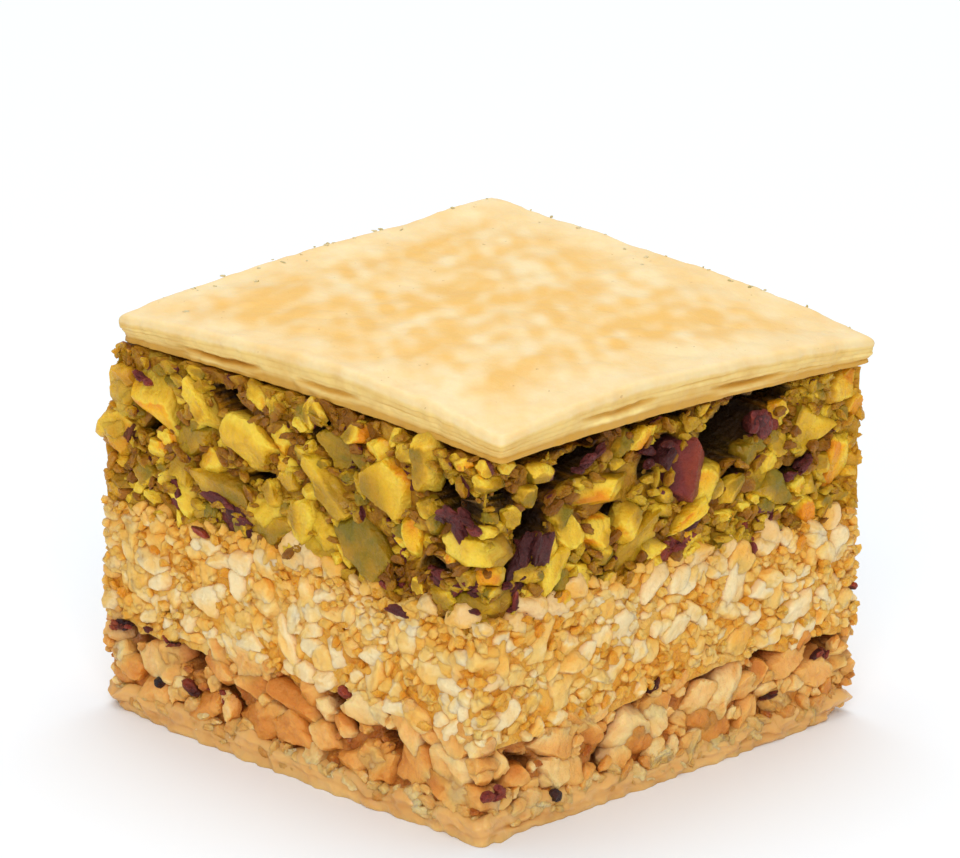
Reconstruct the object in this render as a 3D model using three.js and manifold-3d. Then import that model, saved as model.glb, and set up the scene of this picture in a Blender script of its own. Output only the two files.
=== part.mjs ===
// One cut piece of layered baklava, as it stands on a table.
// From the bottom up: a thin syrup-soaked pastry, a layer of toasted nuts, a layer of finely chopped
// blanched nuts, a thick layer of coarse pistachios, and a crisp pastry lid that is warped by baking.
// +Z is up. The front corner of the piece points to +X -Y, and the four cut sides face along X and Y.

import * as THREE from "three";
import { mergeVertices } from "three/addons/utils/BufferGeometryUtils.js";
import Module from "manifold-3d";

const wasm = await Module();
wasm.setup();

// Driving dimensions, in millimetres
const SIDE = 40; // from one cut side to the opposite one
const HALF = SIDE / 2;
const CORE_INSET = 1.4; // the middle of a nut layer ends this far behind the cut sides
const BASE_TOP = 2.0; // mean heights of the faces where two layers meet
const TOASTED_TOP = 7.6;
const BLANCHED_TOP = 16.4;
const PISTACHIO_TOP = 28.1;
const LID_AT_CORNER = 1.8; // thickness of the pastry lid at its corners
const LID_SWELL = 1.2; // how much thicker the lid is between its corners
const LID_BOW = 0.65; // how far the lid's edges bow up between the corners
const PIECE_GAP = 0.15; // nut pieces stop this far from the face where two layers meet
const CROWDING = 0.36; // pieces closer than this share of their two sizes are left out
const CORNER_SHARE = 0.4; // a piece stays this share of its size away from an upright edge
const SMALLEST_DEPTH = 3.4; // a large piece reaches at least this far into the layer

const UP = new THREE.Vector3(0, 0, 1);
const CORE_CELLS = 8; // the meeting faces are grids of this many cells each way over the cores
const LID_CELLS = CORE_CELLS * 2; // the lid's grid over the core is twice as fine, for its blisters
const CORE_HALF = HALF - CORE_INSET;
const CELL = (2 * CORE_HALF) / CORE_CELLS;
const ROOM_HALF = HALF + 0.2; // no nut piece reaches further than this from the middle

const { lerp, smoothstep, clamp, seededRandom } = THREE.MathUtils;
const between = (low, high) => lerp(low, high, seededRandom());

// Heights of the meeting faces over a point of the plan, x and y in millimetres

// 1 over the front corner of the piece, 0 over the back corner
const frontness = (x, y) => clamp((1 + (x - y) / SIDE) / 2, 0, 1);

const baseTop = (x, y) => BASE_TOP + 0.18 * Math.sin(x / 5.2) * Math.cos(y / 6.1);

const toastedTop = (x, y) =>
  TOASTED_TOP + 0.3 * Math.sin(x / 4.6 + 1) + 0.25 * Math.cos(y / 5.4 - 0.6);

const blanchedTop = (x, y) =>
  BLANCHED_TOP + 0.35 * Math.cos(x / 5.8 + 0.4) + 0.3 * Math.sin(y / 4.9 + 2.1);

// The lid's underside is a warped square that is lowest at the right corner and highest at the back.
function pistachioTop(x, y) {
  const [u, v] = [x / HALF, y / HALF];
  const warp = -0.7 * u + 0.3 * v - 0.6 * u * v;
  const bow = frontness(x, y) * (1 - Math.min(u * u, 1) + 1 - Math.min(v * v, 1));
  return PISTACHIO_TOP + warp + LID_BOW * bow;
}

// Solids and geometries

function solidOf(geometry) {
  const bare = geometry.clone();
  bare.deleteAttribute("normal");
  bare.deleteAttribute("uv");
  const merged = mergeVertices(bare, 1e-5);
  return new wasm.Manifold(
    new wasm.Mesh({
      numProp: 3,
      vertProperties: new Float32Array(merged.attributes.position.array),
      triVerts: new Uint32Array(merged.index.array),
    }),
  );
}

function geometryOf(solid) {
  const mesh = solid.getMesh();
  return new THREE.BufferGeometry()
    .setAttribute("position", new THREE.BufferAttribute(mesh.vertProperties, 3))
    .setIndex(new THREE.BufferAttribute(mesh.triVerts, 1));
}

// The largest connected body of a solid, with any hollow that the join sealed left out
function largestBody(solid) {
  return solid.decompose().reduce((a, b) => (b.volume() > a.volume() ? b : a));
}

// The height of a face where two layers meet. It is flat between the points of the core's grid, and
// goes on past the outermost points as flat as it is there.
const faceted = (height) => (x, y) => {
  const [i, j] = [x, y].map((t) => clamp(Math.floor((t + CORE_HALF) / CELL), 0, CORE_CELLS - 1));
  const [x0, y0] = [i * CELL - CORE_HALF, j * CELL - CORE_HALF];
  const [s, t] = [(x - x0) / CELL, (y - y0) / CELL];
  const near = height(x0, y0);
  const far = height(x0 + CELL, y0 + CELL);
  const beside = s > t ? height(x0 + CELL, y0) : height(x0, y0 + CELL);
  const [more, less] = [Math.max(s, t), Math.min(s, t)];
  return near + more * (beside - near) + less * (far - beside);
};

// A block whose plan is a grid of cells and whose sides have a row of points for each of the heights.
// place(u, v, row) gives the plan point of a grid point with u and v from -1 to 1, and each height is
// a function of that point. Where two blocks meet, one is made with a quarter turn, so that the
// triangles of both meeting faces are the same.
function gridBlock(cells, place, heights, quarterTurn = false) {
  const steps = heights.length - 1;
  const geometry = new THREE.BoxGeometry(2, 2, 2, cells, cells, steps);
  const position = geometry.attributes.position;
  for (let i = 0; i < position.count; i++) {
    let [u, v] = [position.getX(i), position.getY(i)];
    if (quarterTurn) [u, v] = [-v, u];
    const row = Math.round(((position.getZ(i) + 1) / 2) * steps);
    const [x, y] = place(u, v, row);
    position.setXYZ(i, x, y, heights[row](x, y));
  }
  return geometry;
}

const corePlan = (u, v) => [u * CORE_HALF, v * CORE_HALF];

// A plan that follows the core's grid inside and an outline on its outermost grid points
function rimPlan(coreCells, outline) {
  const outermost = coreCells / 2 + 1;
  const inner = CORE_HALF / HALF / (outermost - 1);
  const share = (i) => (Math.abs(i) === outermost ? Math.sign(i) : i * inner);
  return (u, v) => {
    const [i, j] = [u, v].map((t) => Math.round(t * outermost));
    const inside = Math.max(Math.abs(i), Math.abs(j)) < outermost;
    return inside ? corePlan(i / (outermost - 1), j / (outermost - 1)) : outline(share(i), share(j));
  };
}

// The outline of one leaf of a pastry with the given corners: waves along its edges, and worn corners
function leafOutline(corners, { inset, wave, phase, wear = 0 }) {
  return (u, v) => {
    const [s, t] = [(u + 1) / 2, (v + 1) / 2];
    const at = (k) =>
      lerp(lerp(corners.left[k], corners.front[k], s), lerp(corners.back[k], corners.right[k], s), t);
    const corner = Math.min(Math.abs(u), Math.abs(v)) ** 8;
    const ripple = wave * Math.sin(7.3 * u + 5.1 * v + phase) * (1 - corner);
    const reach = 1 - (inset + ripple + wear * corner) / HALF;
    return [at(0) * reach, at(1) * reach];
  };
}

// A pastry of thin leaves on each other, with edges that end a little in or out of their neighbours'.
// level(share) gives the height at a share of the pastry's thickness, and each leaf spans two shares.
function pastry(coreCells, corners, leaves, level) {
  const plans = leaves.map((leaf) => rimPlan(coreCells, leafOutline(corners, leaf)));
  const place = (u, v, row) => plans[Math.floor(row / 2)](u, v);
  const heights = leaves.flatMap((leaf) => [level(leaf.from), level(leaf.to)]);
  return solidOf(gridBlock(coreCells + 2, place, heights, true));
}

// Nut pieces

// A point on a cut side. Side 0 faces -Y, and the sides go round counterclockwise seen from above.
function onSide(side, along, inset, height) {
  return new THREE.Vector3(along, inset - HALF, height).applyAxisAngle(UP, (side * Math.PI) / 2);
}

// How far the cut side lies behind its flat plane: soft upright edges, and wear at two corners
function wornInset(side, along, height) {
  const corner = smoothstep(Math.abs(along), HALF - 3.5, HALF);
  const leftCorner = (side === 0 && along < 0) || (side === 3 && along > 0);
  const topWear = leftCorner ? 1.3 * smoothstep(height, 21, 27) : 0;
  const footWear = leftCorner ? 1.2 * (1 - smoothstep(height, 1.5, 5)) : 0;
  return 0.15 + corner * (0.55 + topWear + footWear);
}

// The two forms of a nut piece before it is stretched: a rounded lump, and a chip with eight corners
const ROUNDED = () => new THREE.IcosahedronGeometry(1, 0);
const CHIP = () => new THREE.BoxGeometry(1.3, 1.3, 1.3);

// A chopped nut with uneven corners, cut flat where the knife went through it
function nutPiece({ form = ROUNDED, side, along, height, width, tall, deep, cutDepth }) {
  const geometry = form();
  geometry.deleteAttribute("normal");
  geometry.deleteAttribute("uv");
  const lump = mergeVertices(geometry, 1e-5);
  const spin = new THREE.Quaternion().setFromEuler(
    new THREE.Euler(between(0, 6), between(0, 6), between(0, 6)),
  );
  const tilt = between(-0.5, 0.5);
  const position = lump.attributes.position;
  const point = new THREE.Vector3();
  for (let i = 0; i < position.count; i++) {
    point.fromBufferAttribute(position, i).multiplyScalar(between(0.86, 1.14));
    point.applyQuaternion(spin);
    point.set((point.x * width) / 2, (point.y * deep) / 2, (point.z * tall) / 2);
    point.applyAxisAngle(new THREE.Vector3(0, 1, 0), tilt);
    point.y = Math.max(point.y, -cutDepth);
    position.setXYZ(i, point.x, point.y, point.z);
  }
  lump.rotateZ((side * Math.PI) / 2);
  lump.translate(...onSide(side, along, wornInset(side, along, height) + cutDepth, height));
  return solidOf(lump);
}

// Pieces spread over the four sides in uneven rows, round the large pieces that are placed by hand
function scatteredPieces(spread, large) {
  const pieces = [];
  const rise = (spread.to - spread.from) / spread.rows;
  const pitch = SIDE / spread.columns;
  const crowds = (piece, side, along, height, size) =>
    piece.side === side &&
    Math.abs(piece.along - along) < (piece.width + size) * CROWDING &&
    Math.abs(piece.height - height) < (piece.tall + size) * CROWDING;
  for (let side = 0; side < 4; side++) {
    for (let row = 0; row < spread.rows; row++) {
      for (let column = 0; column < spread.columns; column++) {
        const stagger = row % 2 ? 0.5 : 0;
        const along = -HALF + (column + stagger + between(0.2, 0.7)) * pitch;
        const height = spread.from + (row + between(0.3, 0.7)) * rise;
        const size = between(...spread.size);
        const stretch = between(0.75, 1.4);
        if (large.some((piece) => crowds(piece, side, along, height, size))) continue;
        if (Math.abs(along) > HALF - size * CORNER_SHARE) continue;
        pieces.push({
          form: spread.form,
          side,
          along,
          height,
          width: size * stretch,
          tall: size / stretch,
          deep: size,
          cutDepth: size * between(0.12, 0.3),
        });
      }
    }
  }
  return pieces;
}

const byHand = (rows) =>
  rows.map(([side, along, height, width, tall]) => ({
    side,
    along,
    height,
    width,
    tall,
    deep: Math.max(SMALLEST_DEPTH, Math.min(width, tall)),
    cutDepth: 0.5,
  }));

// A layer of nuts: its core, with the pieces that show fused on, kept within the layer's own height
function nutLayer({ lower, upper, quarterTurn, large, spread, hollows = [] }) {
  const core = solidOf(gridBlock(CORE_CELLS, corePlan, [lower, upper], quarterTurn));
  const pieces = [...large, ...scatteredPieces(spread, large)].map(nutPiece);
  const wide = rimPlan(CORE_CELLS, (u, v) => [u * ROOM_HALF, v * ROOM_HALF]);
  const floor = (x, y) => faceted(lower)(x, y) + PIECE_GAP;
  const ceiling = (x, y) => faceted(upper)(x, y) - PIECE_GAP;
  const room = solidOf(gridBlock(CORE_CELLS + 2, wide, [floor, ceiling], quarterTurn));
  const nuts = wasm.Manifold.union(pieces).intersect(room);
  const layer = hollows.reduce((solid, hollow) => solid.subtract(nutPiece(hollow)), core.add(nuts));
  return largestBody(layer);
}

// The large pieces that stand out on the two front sides: side, along, height, width, tall
const LARGE_PISTACHIOS = byHand([
  [0, -13.4, 25.0, 6.8, 5.0],
  [0, -4.1, 24.1, 6.0, 3.2],
  [0, -7.0, 19.7, 6.0, 3.0],
  [0, -12.7, 20.3, 4.2, 3.4],
  [0, 3.7, 22.1, 6.0, 3.6],
  [0, 9.7, 23.7, 6.0, 5.8],
  [0, 8.2, 19.5, 6.6, 3.6],
  [0, 17.2, 21.4, 5.0, 3.0],
  [1, -7.2, 23.1, 7.2, 2.8],
  [1, 1.2, 22.1, 4.6, 5.6],
  [1, -4.5, 18.8, 5.0, 2.8],
  [1, 14.0, 23.1, 5.2, 4.0],
]);
const LARGE_BLANCHED = byHand([
  [0, -5.5, 10.0, 3.0, 3.2],
  [0, -4.7, 14.6, 2.8, 2.2],
  [0, 0.1, 10.2, 1.9, 3.8],
  [1, 6.4, 13.3, 3.2, 4.4],
  [1, 10.4, 11.6, 2.6, 3.6],
  [1, 17.0, 12.8, 3.4, 2.8],
  [1, -17.4, 12.6, 4.4, 4.0],
]);
const LARGE_TOASTED = byHand([
  [0, 0.6, 5.3, 7.2, 2.6],
  [0, -12.8, 5.4, 4.2, 2.6],
  [0, 16.6, 5.2, 4.6, 3.4],
  [1, -4.5, 4.8, 4.2, 3.0],
  [1, -12.3, 5.5, 5.0, 2.6],
  [1, 12.2, 5.6, 5.0, 2.4],
]);

// Dark hollows between the pistachios, under the lid near the front and right corners
const PISTACHIO_HOLLOWS = [
  { side: 1, along: 5.7, height: 25.2, width: 8, tall: 4.6, deep: 7, cutDepth: 3 },
  { side: 1, along: -17.2, height: 24.2, width: 6, tall: 2, deep: 5, cutDepth: 2 },
  { side: 1, along: -10.5, height: 26.2, width: 7, tall: 1.6, deep: 5, cutDepth: 2 },
  { side: 0, along: 15.2, height: 24.6, width: 5, tall: 1.8, deep: 5, cutDepth: 2 },
];

seededRandom(2711);

const toastedLayer = () =>
  nutLayer({
    lower: baseTop,
    upper: toastedTop,
    quarterTurn: false,
    large: LARGE_TOASTED,
    spread: { from: BASE_TOP, to: TOASTED_TOP, rows: 2, columns: 8, size: [3.2, 4.6], form: CHIP },
  });

const blanchedLayer = () =>
  nutLayer({
    lower: toastedTop,
    upper: blanchedTop,
    quarterTurn: true,
    large: LARGE_BLANCHED,
    spread: { from: TOASTED_TOP, to: BLANCHED_TOP, rows: 3, columns: 9, size: [2.7, 3.9], form: CHIP },
  });

const pistachioLayer = () =>
  nutLayer({
    lower: blanchedTop,
    upper: pistachioTop,
    quarterTurn: false,
    large: LARGE_PISTACHIOS,
    spread: { from: BLANCHED_TOP, to: PISTACHIO_TOP, rows: 3, columns: 8, size: [3.6, 5.4], form: ROUNDED },
    hollows: PISTACHIO_HOLLOWS,
  });

// The bottom pastry: three soaked leaves, the lowest a little smaller, flat on the table
function bottomPastry() {
  const reach = HALF - 0.2;
  const corners = {
    left: [-reach, -reach],
    front: [reach, -reach],
    right: [reach, reach],
    back: [-reach, reach],
  };
  const leaves = [
    { from: 0, to: 0.28, inset: 0.75, wave: 0.25, phase: 4.1, wear: 2.3 },
    { from: 0.33, to: 0.6, inset: 0.2, wave: 0.2, phase: 2.2, wear: 1.9 },
    { from: 0.66, to: 1, inset: 0.5, wave: 0.2, phase: 0.4, wear: 1.6 },
  ];
  const level = (share) => (share === 1 ? baseTop : () => share * BASE_TOP);
  return pastry(CORE_CELLS, corners, leaves, level);
}

// Low blisters of the baked top leaf, as bumps with a round foot
function blisters(count) {
  return Array.from({ length: count }, () => ({
    x: between(-18, 18),
    y: between(-18, 18),
    radius: between(2.6, 5.0),
    rise: between(0.15, 0.42),
  }));
}

// The lid: four crisp leaves with ragged edges, blistered on top
function topPastry() {
  const corners = {
    left: [-19.0, -18.9],
    front: [20.8, -19.3],
    right: [20.4, 20.3],
    back: [-20.4, 21.4],
  };
  const leaves = [
    { from: 0, to: 0.28, inset: 0.35, wave: 0.2, phase: 1.0 },
    { from: 0.33, to: 0.52, inset: 0.0, wave: 0.16, phase: 3.1 },
    { from: 0.57, to: 0.76, inset: 0.36, wave: 0.14, phase: 5.2 },
    { from: 0.8, to: 1, inset: 0.05, wave: 0.12, phase: 0.3 },
  ];
  const bumps = blisters(34);
  const relief = (x, y) =>
    bumps.reduce((sum, b) => {
      const d = Math.hypot(x - b.x, y - b.y) / b.radius;
      return d < 1 ? sum + b.rise * (1 - d * d) ** 2 : sum;
    }, 0.08 * Math.sin(x / 2.3 + y / 5.1));
  const thickness = (x, y) => {
    const [u, v] = [clamp(x / HALF, -1, 1), clamp(y / HALF, -1, 1)];
    return LID_AT_CORNER + LID_SWELL * frontness(x, y) * (1 - u * u * v * v);
  };
  const level = (share) => (x, y) => {
    if (share === 0) return faceted(pistachioTop)(x, y);
    const blister = share === 1 ? relief(x, y) : 0;
    return pistachioTop(x, y) + share * thickness(x, y) + blister;
  };
  return pastry(LID_CELLS, corners, leaves, level);
}

const finish = (color, roughness) => new THREE.MeshStandardMaterial({ color, roughness, metalness: 0 });
const soakedPastry = finish(0xc9994f, 0.45);
const toastedNuts = finish(0xd9914a, 0.4);
const blanchedNuts = finish(0xecc878, 0.4);
const pistachios = finish(0xb59a2c, 0.4);
const crispPastry = finish(0xf6d79a, 0.5);

const piece = new THREE.Group();
const add = (name, solid, material) => {
  const mesh = new THREE.Mesh(geometryOf(solid), material);
  mesh.name = name;
  piece.add(mesh);
};
add("bottom_pastry", bottomPastry(), soakedPastry);
add("toasted_nut_layer", toastedLayer(), toastedNuts);
add("blanched_nut_layer", blanchedLayer(), blanchedNuts);
add("pistachio_layer", pistachioLayer(), pistachios);
add("top_pastry", topPastry(), crispPastry);

// The piece stands over the origin: the middle of its box in plan, at the height of the table
const middle = new THREE.Box3().setFromObject(piece).getCenter(new THREE.Vector3());
piece.position.set(-middle.x, -middle.y, 0);

export default piece;
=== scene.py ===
"""Looks of one square-cut piece of layered baklava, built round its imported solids.

From the bottom up the piece is a soaked pastry, toasted nuts, blanched nuts, pistachios and a crisp
pastry lid. Lengths inside this script are millimetres from the middle of the block, at table height.
"""

from __future__ import annotations

import logging
import math
from dataclasses import dataclass, field, replace
from enum import Enum
from functools import partial
from typing import Callable, Iterable

import bmesh
import bpy
import numpy as np
from mathutils import Matrix, Vector


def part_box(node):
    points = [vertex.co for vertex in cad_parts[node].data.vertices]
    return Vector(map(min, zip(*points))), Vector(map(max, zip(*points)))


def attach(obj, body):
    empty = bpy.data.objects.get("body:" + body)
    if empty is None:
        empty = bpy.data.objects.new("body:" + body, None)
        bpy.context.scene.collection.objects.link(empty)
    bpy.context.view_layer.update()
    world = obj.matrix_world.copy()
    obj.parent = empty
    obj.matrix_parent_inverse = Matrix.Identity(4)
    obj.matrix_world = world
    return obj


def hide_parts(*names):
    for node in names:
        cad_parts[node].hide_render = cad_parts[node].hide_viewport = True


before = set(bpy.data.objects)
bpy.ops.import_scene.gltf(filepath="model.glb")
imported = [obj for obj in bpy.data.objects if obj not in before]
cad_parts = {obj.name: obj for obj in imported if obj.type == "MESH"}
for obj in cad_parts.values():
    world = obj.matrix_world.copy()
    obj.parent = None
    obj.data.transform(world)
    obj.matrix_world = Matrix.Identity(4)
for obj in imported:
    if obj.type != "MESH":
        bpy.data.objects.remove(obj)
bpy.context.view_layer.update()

Array = np.ndarray
Draws = np.random.Generator
Socket = bpy.types.NodeSocket
Pair = tuple[float, float]
Triple = tuple[float, float, float]
Colour = tuple[int, int, int]
Surface = Callable[[Array, Array], Array]
Soak = Callable[[Array, Array], Array]

LOG = logging.getLogger("baklava")
MM = 0.001
SIDES = 4


class Side(Enum):
    """The four cut sides, counted round the block from the one that faces -Y."""

    LEFT = 0
    RIGHT = 1
    FAR_RIGHT = 2
    FAR_LEFT = 3


class Form(Enum):
    """How crisp the edges of a chopped piece are, as the power of its smooth corners."""

    SOFT = 14.0
    CHOPPED = 50.0
    CRISP = 110.0


def smoothstep(value: Array, low: float, high: float) -> Array:
    """Rises smoothly from 0 at low to 1 at high."""
    share = np.clip((value - low) / (high - low), 0.0, 1.0)
    return share * share * (3.0 - 2.0 * share)


def turned(x: Array, y: Array, angle: Array) -> tuple[Array, Array]:
    """Turns places by an angle in radians."""
    return x * np.cos(angle) - y * np.sin(angle), x * np.sin(angle) + y * np.cos(angle)


def linear(colour: Colour) -> tuple[float, float, float, float]:
    """Turns an 8-bit display colour into the linear values that shaders take.

    Args:
        colour: The display colour.

    Returns:
        The linear colour, with its alpha.
    """
    parts = [c / 255.0 for c in colour]
    lit = [p / 12.92 if p <= 0.04045 else ((p + 0.055) / 1.055) ** 2.4 for p in parts]
    return (lit[0], lit[1], lit[2], 1.0)


# Meshes


@dataclass
class Shape:
    """A closed triangle mesh in millimetres, with values that vary over its points."""

    points: Array
    faces: Array
    values: dict[str, Array]

    @staticmethod
    def joined(shapes: list[Shape]) -> Shape:
        """Puts several shapes into one.

        Args:
            shapes: The shapes, all with the same names of values.

        Returns:
            One shape that holds them all.
        """
        starts = np.cumsum([0] + [len(s.points) for s in shapes[:-1]])
        return Shape(
            np.concatenate([s.points for s in shapes]),
            np.concatenate([s.faces + start for s, start in zip(shapes, starts)]),
            {name: np.concatenate([s.values[name] for s in shapes]) for name in shapes[0].values},
        )


def nut_values(tone: Array, shade: Array, skin: Array, syrup: Array) -> dict[str, Array]:
    """The values that a nut's finish reads: its tone, its painted shade, its papery skin and its syrup."""
    return {"tone": tone, "shade": shade, "skin": skin, "syrup": syrup}


def ball(count: int, even: float = 0.6) -> tuple[Array, Array]:
    """Spreads points over a ball of radius 1, most densely towards -Y, where pieces show.

    Args:
        count: How many points.
        even: How evenly they are spread, 1 being the same all over.

    Returns:
        The points, and the triangles that join them.
    """
    golden_turn = math.pi * (3.0 - math.sqrt(5.0))
    steps = np.arange(count) + 0.5
    polar = np.arccos(1.0 - 2.0 * steps / count)
    turn = steps * golden_turn
    mesh = bmesh.new()
    for a, b in zip(polar, turn):
        mesh.verts.new((math.sin(a) * math.cos(b), -math.cos(a), math.sin(a) * math.sin(b)))
    bmesh.ops.convex_hull(mesh, input=mesh.verts)
    bmesh.ops.recalc_face_normals(mesh, faces=mesh.faces)
    mesh.verts.index_update()
    faces = np.array([[v.index for v in f.verts] for f in mesh.faces], int)
    mesh.free()
    gathered = polar * (even + (1.0 - even) * (polar / math.pi) ** 2)
    out = np.sin(gathered)
    return np.stack([out * np.cos(turn), -np.cos(gathered), out * np.sin(turn)], 1), faces


def closed_stack(loops: Array, values: dict[str, Array]) -> Shape:
    """Joins loops of points into one closed skin, with a middle point at each end.

    Args:
        loops: Points by loop and by place round the loop. The loops run from the middle of the
            underside outwards, up the sides and inwards to the middle of the top.
        values: Values by loop and by place round the loop.

    Returns:
        The closed shape.
    """
    count, around = loops.shape[:2]
    here = np.arange(around)
    beyond = (here + 1) % around
    faces = []
    for i in range(count - 1):
        low, high = i * around, (i + 1) * around
        faces.append(np.stack([low + here, low + beyond, high + beyond], 1))
        faces.append(np.stack([low + here, high + beyond, high + here], 1))
    foot, crown = count * around, count * around + 1
    top = (count - 1) * around
    faces.append(np.stack([np.full(around, foot), beyond, here], 1))
    faces.append(np.stack([np.full(around, crown), top + here, top + beyond], 1))
    ends = np.array([loops[0].mean(0), loops[-1].mean(0)])
    points = np.concatenate([loops.reshape(-1, 3), ends])
    spread = {
        name: np.concatenate([v.reshape(-1), [v[0].mean(), v[-1].mean()]])
        for name, v in values.items()
    }
    return Shape(points, np.concatenate(faces), spread)


def round_wave(way: Array, length: float, rng: Draws, lowest: int, count: int) -> Array:
    """A smooth uneven wave that closes on itself.

    Args:
        way: Places along the closed line.
        length: The line's whole length.
        rng: Where the wave's phases come from.
        lowest: How often the slowest part of the wave goes up and down along the line.
        count: How many faster parts are added to it.

    Returns:
        The wave at each place, mostly between -1 and 1.
    """
    total = np.zeros_like(way)
    for turns in range(lowest, lowest + count):
        weight = rng.uniform(0.4, 1.0) / math.sqrt(turns - lowest + 1.0)
        total += weight * np.sin(math.tau * turns * way / length + rng.uniform(0.0, math.tau))
    return total / (0.9 * math.sqrt(count))


def ripples(points: Array, rng: Draws, wavelength: float, count: int = 9) -> Array:
    """A smooth uneven field made of crossing waves.

    Args:
        points: Places, with their three coordinates last.
        rng: Where the waves' directions and phases come from.
        wavelength: The mean distance between crests.
        count: How many waves cross.

    Returns:
        The field's value at each place, mostly between -1 and 1.
    """
    way = rng.normal(0.0, 1.0, (3, count))
    way /= np.linalg.norm(way, axis=0)
    way *= math.tau / (wavelength * rng.uniform(0.7, 1.5, count))
    wave = np.sin(points @ way + rng.uniform(0.0, math.tau, count))
    return wave.sum(-1) / (1.1 * math.sqrt(count))


# The block that every layer fits


@dataclass(frozen=True)
class Block:
    """The cut block: its plan, and the heights of the faces where two layers meet.

    The lid's underside is warped by lid_warp, per half side along x, along y and along both, and
    lid_bow lifts it between the corners, where lid_swell thickens the lid. The cut sides are worn
    within worn_reach of the outer corners, over the top_worn and foot_worn heights, and syrup fills
    the upright edges within fill_reach, less at the front edge than at the others.
    """

    side: float = 40.0
    corner: float = 0.7
    base_height: float = 2.0
    toasted_height: float = 7.6
    blanched_height: float = 16.4
    pistachio_height: float = 28.1
    lid_at_corner: float = 1.8
    lid_swell: float = 1.2
    lid_bow: float = 0.65
    lid_warp: Triple = (-0.7, 0.3, -0.6)
    worn_reach: float = 4.0
    top_worn: Pair = (20.0, 27.5)
    foot_worn: Pair = (1.0, 4.5)
    fill_reach: Pair = (0.2, 1.8)
    fill_front: float = 0.3
    fill_others: float = 0.6

    @property
    def half(self) -> float:
        """Half the distance between opposite cut sides."""
        return self.side / 2.0

    @property
    def around(self) -> float:
        """The way round all four cut sides."""
        return SIDES * self.side

    @property
    def middle(self) -> Vector:
        """The middle of the block's plan in the frame, in metres, at table height."""
        low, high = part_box("bottom_pastry")
        return Vector(((low.x + high.x) / 2.0, (low.y + high.y) / 2.0, 0.0))

    def way(self, side: Side, along: float) -> float:
        """How far round the block a place along one cut side lies."""
        return (side.value + 0.5) * self.side + along

    def split(self, way: Array) -> tuple[Array, Array]:
        """The number of the cut side that a place round the block is on, and how far along it is."""
        side = np.floor(way / self.side)
        return side, way - side * self.side - self.half

    def frontness(self, x: Array, y: Array) -> Array:
        """1 over the front corner of the block and 0 over its back corner."""
        return np.clip((1.0 + (x - y) / self.side) / 2.0, 0.0, 1.0)

    def inside(self, x: Array, y: Array) -> Array:
        """How far inside the cut sides a place lies."""
        return self.half - np.maximum(np.abs(x), np.abs(y))

    def table(self, x: Array, y: Array) -> Array:
        """The height of the surface that the block stands on."""
        return np.zeros_like(x)

    def base_top(self, x: Array, y: Array) -> Array:
        """The height of the bottom pastry's top."""
        return self.base_height + 0.18 * np.sin(x / 5.2) * np.cos(y / 6.1)

    def toasted_top(self, x: Array, y: Array) -> Array:
        """The height of the face between toasted and blanched nuts."""
        return self.toasted_height + 0.3 * np.sin(x / 4.6 + 1.0) + 0.25 * np.cos(y / 5.4 - 0.6)

    def blanched_top(self, x: Array, y: Array) -> Array:
        """The height of the face between blanched nuts and pistachios."""
        return self.blanched_height + 0.35 * np.cos(x / 5.8 + 0.4) + 0.3 * np.sin(y / 4.9 + 2.1)

    def pistachio_top(self, x: Array, y: Array) -> Array:
        """The height of the lid's warped underside.

        Args:
            x: Places along x.
            y: Places along y.

        Returns:
            The heights.
        """
        u, v = x / self.half, y / self.half
        along_x, along_y, along_both = self.lid_warp
        warp = along_x * u + along_y * v + along_both * u * v
        bow = self.frontness(x, y) * (2.0 - np.minimum(u * u, 1.0) - np.minimum(v * v, 1.0))
        return self.pistachio_height + warp + self.lid_bow * bow

    def lid_thickness(self, x: Array, y: Array) -> Array:
        """How thick the lid is over a place."""
        u, v = (np.clip(place / self.half, -1.0, 1.0) for place in (x, y))
        return self.lid_at_corner + self.lid_swell * self.frontness(x, y) * (1.0 - u * u * v * v)

    def at_outer_corner(self, along: Array) -> Array:
        """1 at the ends of a cut side, falling to 0 where it is no longer worn."""
        return smoothstep(np.abs(along), self.half - self.worn_reach, self.half)

    def wear(self, side: Array, along: Array, height: Array) -> Array:
        """How far a cut side is worn back from its flat plane.

        Args:
            side: The numbers of the cut sides.
            along: Places along them.
            height: How far above the table.

        Returns:
            The depths, largest at the left corner's top and foot.
        """
        at_left = ((side == Side.LEFT.value) & (along < 0)) | ((side == Side.FAR_LEFT.value) & (along > 0))
        top = smoothstep(height, *self.top_worn)
        foot = 1.0 - smoothstep(height, *self.foot_worn)
        return self.at_outer_corner(along) * (0.1 + np.where(at_left, 1.05 * top + foot, 0.3 * foot))

    def corner_fill(self, way: Array) -> Array:
        """How much of the depth behind the cut sides the syrup fills: most at the outer upright edges.

        Args:
            way: How far round the block.

        Returns:
            The shares.
        """
        place = np.mod(way, self.side)
        near = 1.0 - smoothstep(np.minimum(place, self.side - place), *self.fill_reach)
        return np.where(np.abs(way - self.side) < self.half, self.fill_front, self.fill_others) * near

    def wall(self, way: Array, inset: Array, height: Array) -> Array:
        """Places on the cut sides, with upright edges rounded.

        Args:
            way: How far round the block, from the left corner of the side that faces -Y.
            inset: How far behind the cut side.
            height: How far above the table.

        Returns:
            The points.
        """
        side, along = self.split(way)
        straight = self.half - self.corner
        beyond = np.sign(along) * np.clip(np.abs(along) - straight, 0.0, None)
        turn = beyond / self.corner * math.pi / 4.0
        radius = self.corner - inset
        across = np.clip(along, -straight, straight) + radius * np.sin(turn)
        outward = -straight - radius * np.cos(turn)
        return np.stack([*turned(across, outward, side * math.pi / 2.0), height], -1)

    def plan(self, way: Array) -> Array:
        """The outline of the cut sides at places round the block."""
        flat = np.zeros_like(way)
        return self.wall(way, flat, flat)[..., :2]


# Maps over the cut sides


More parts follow.
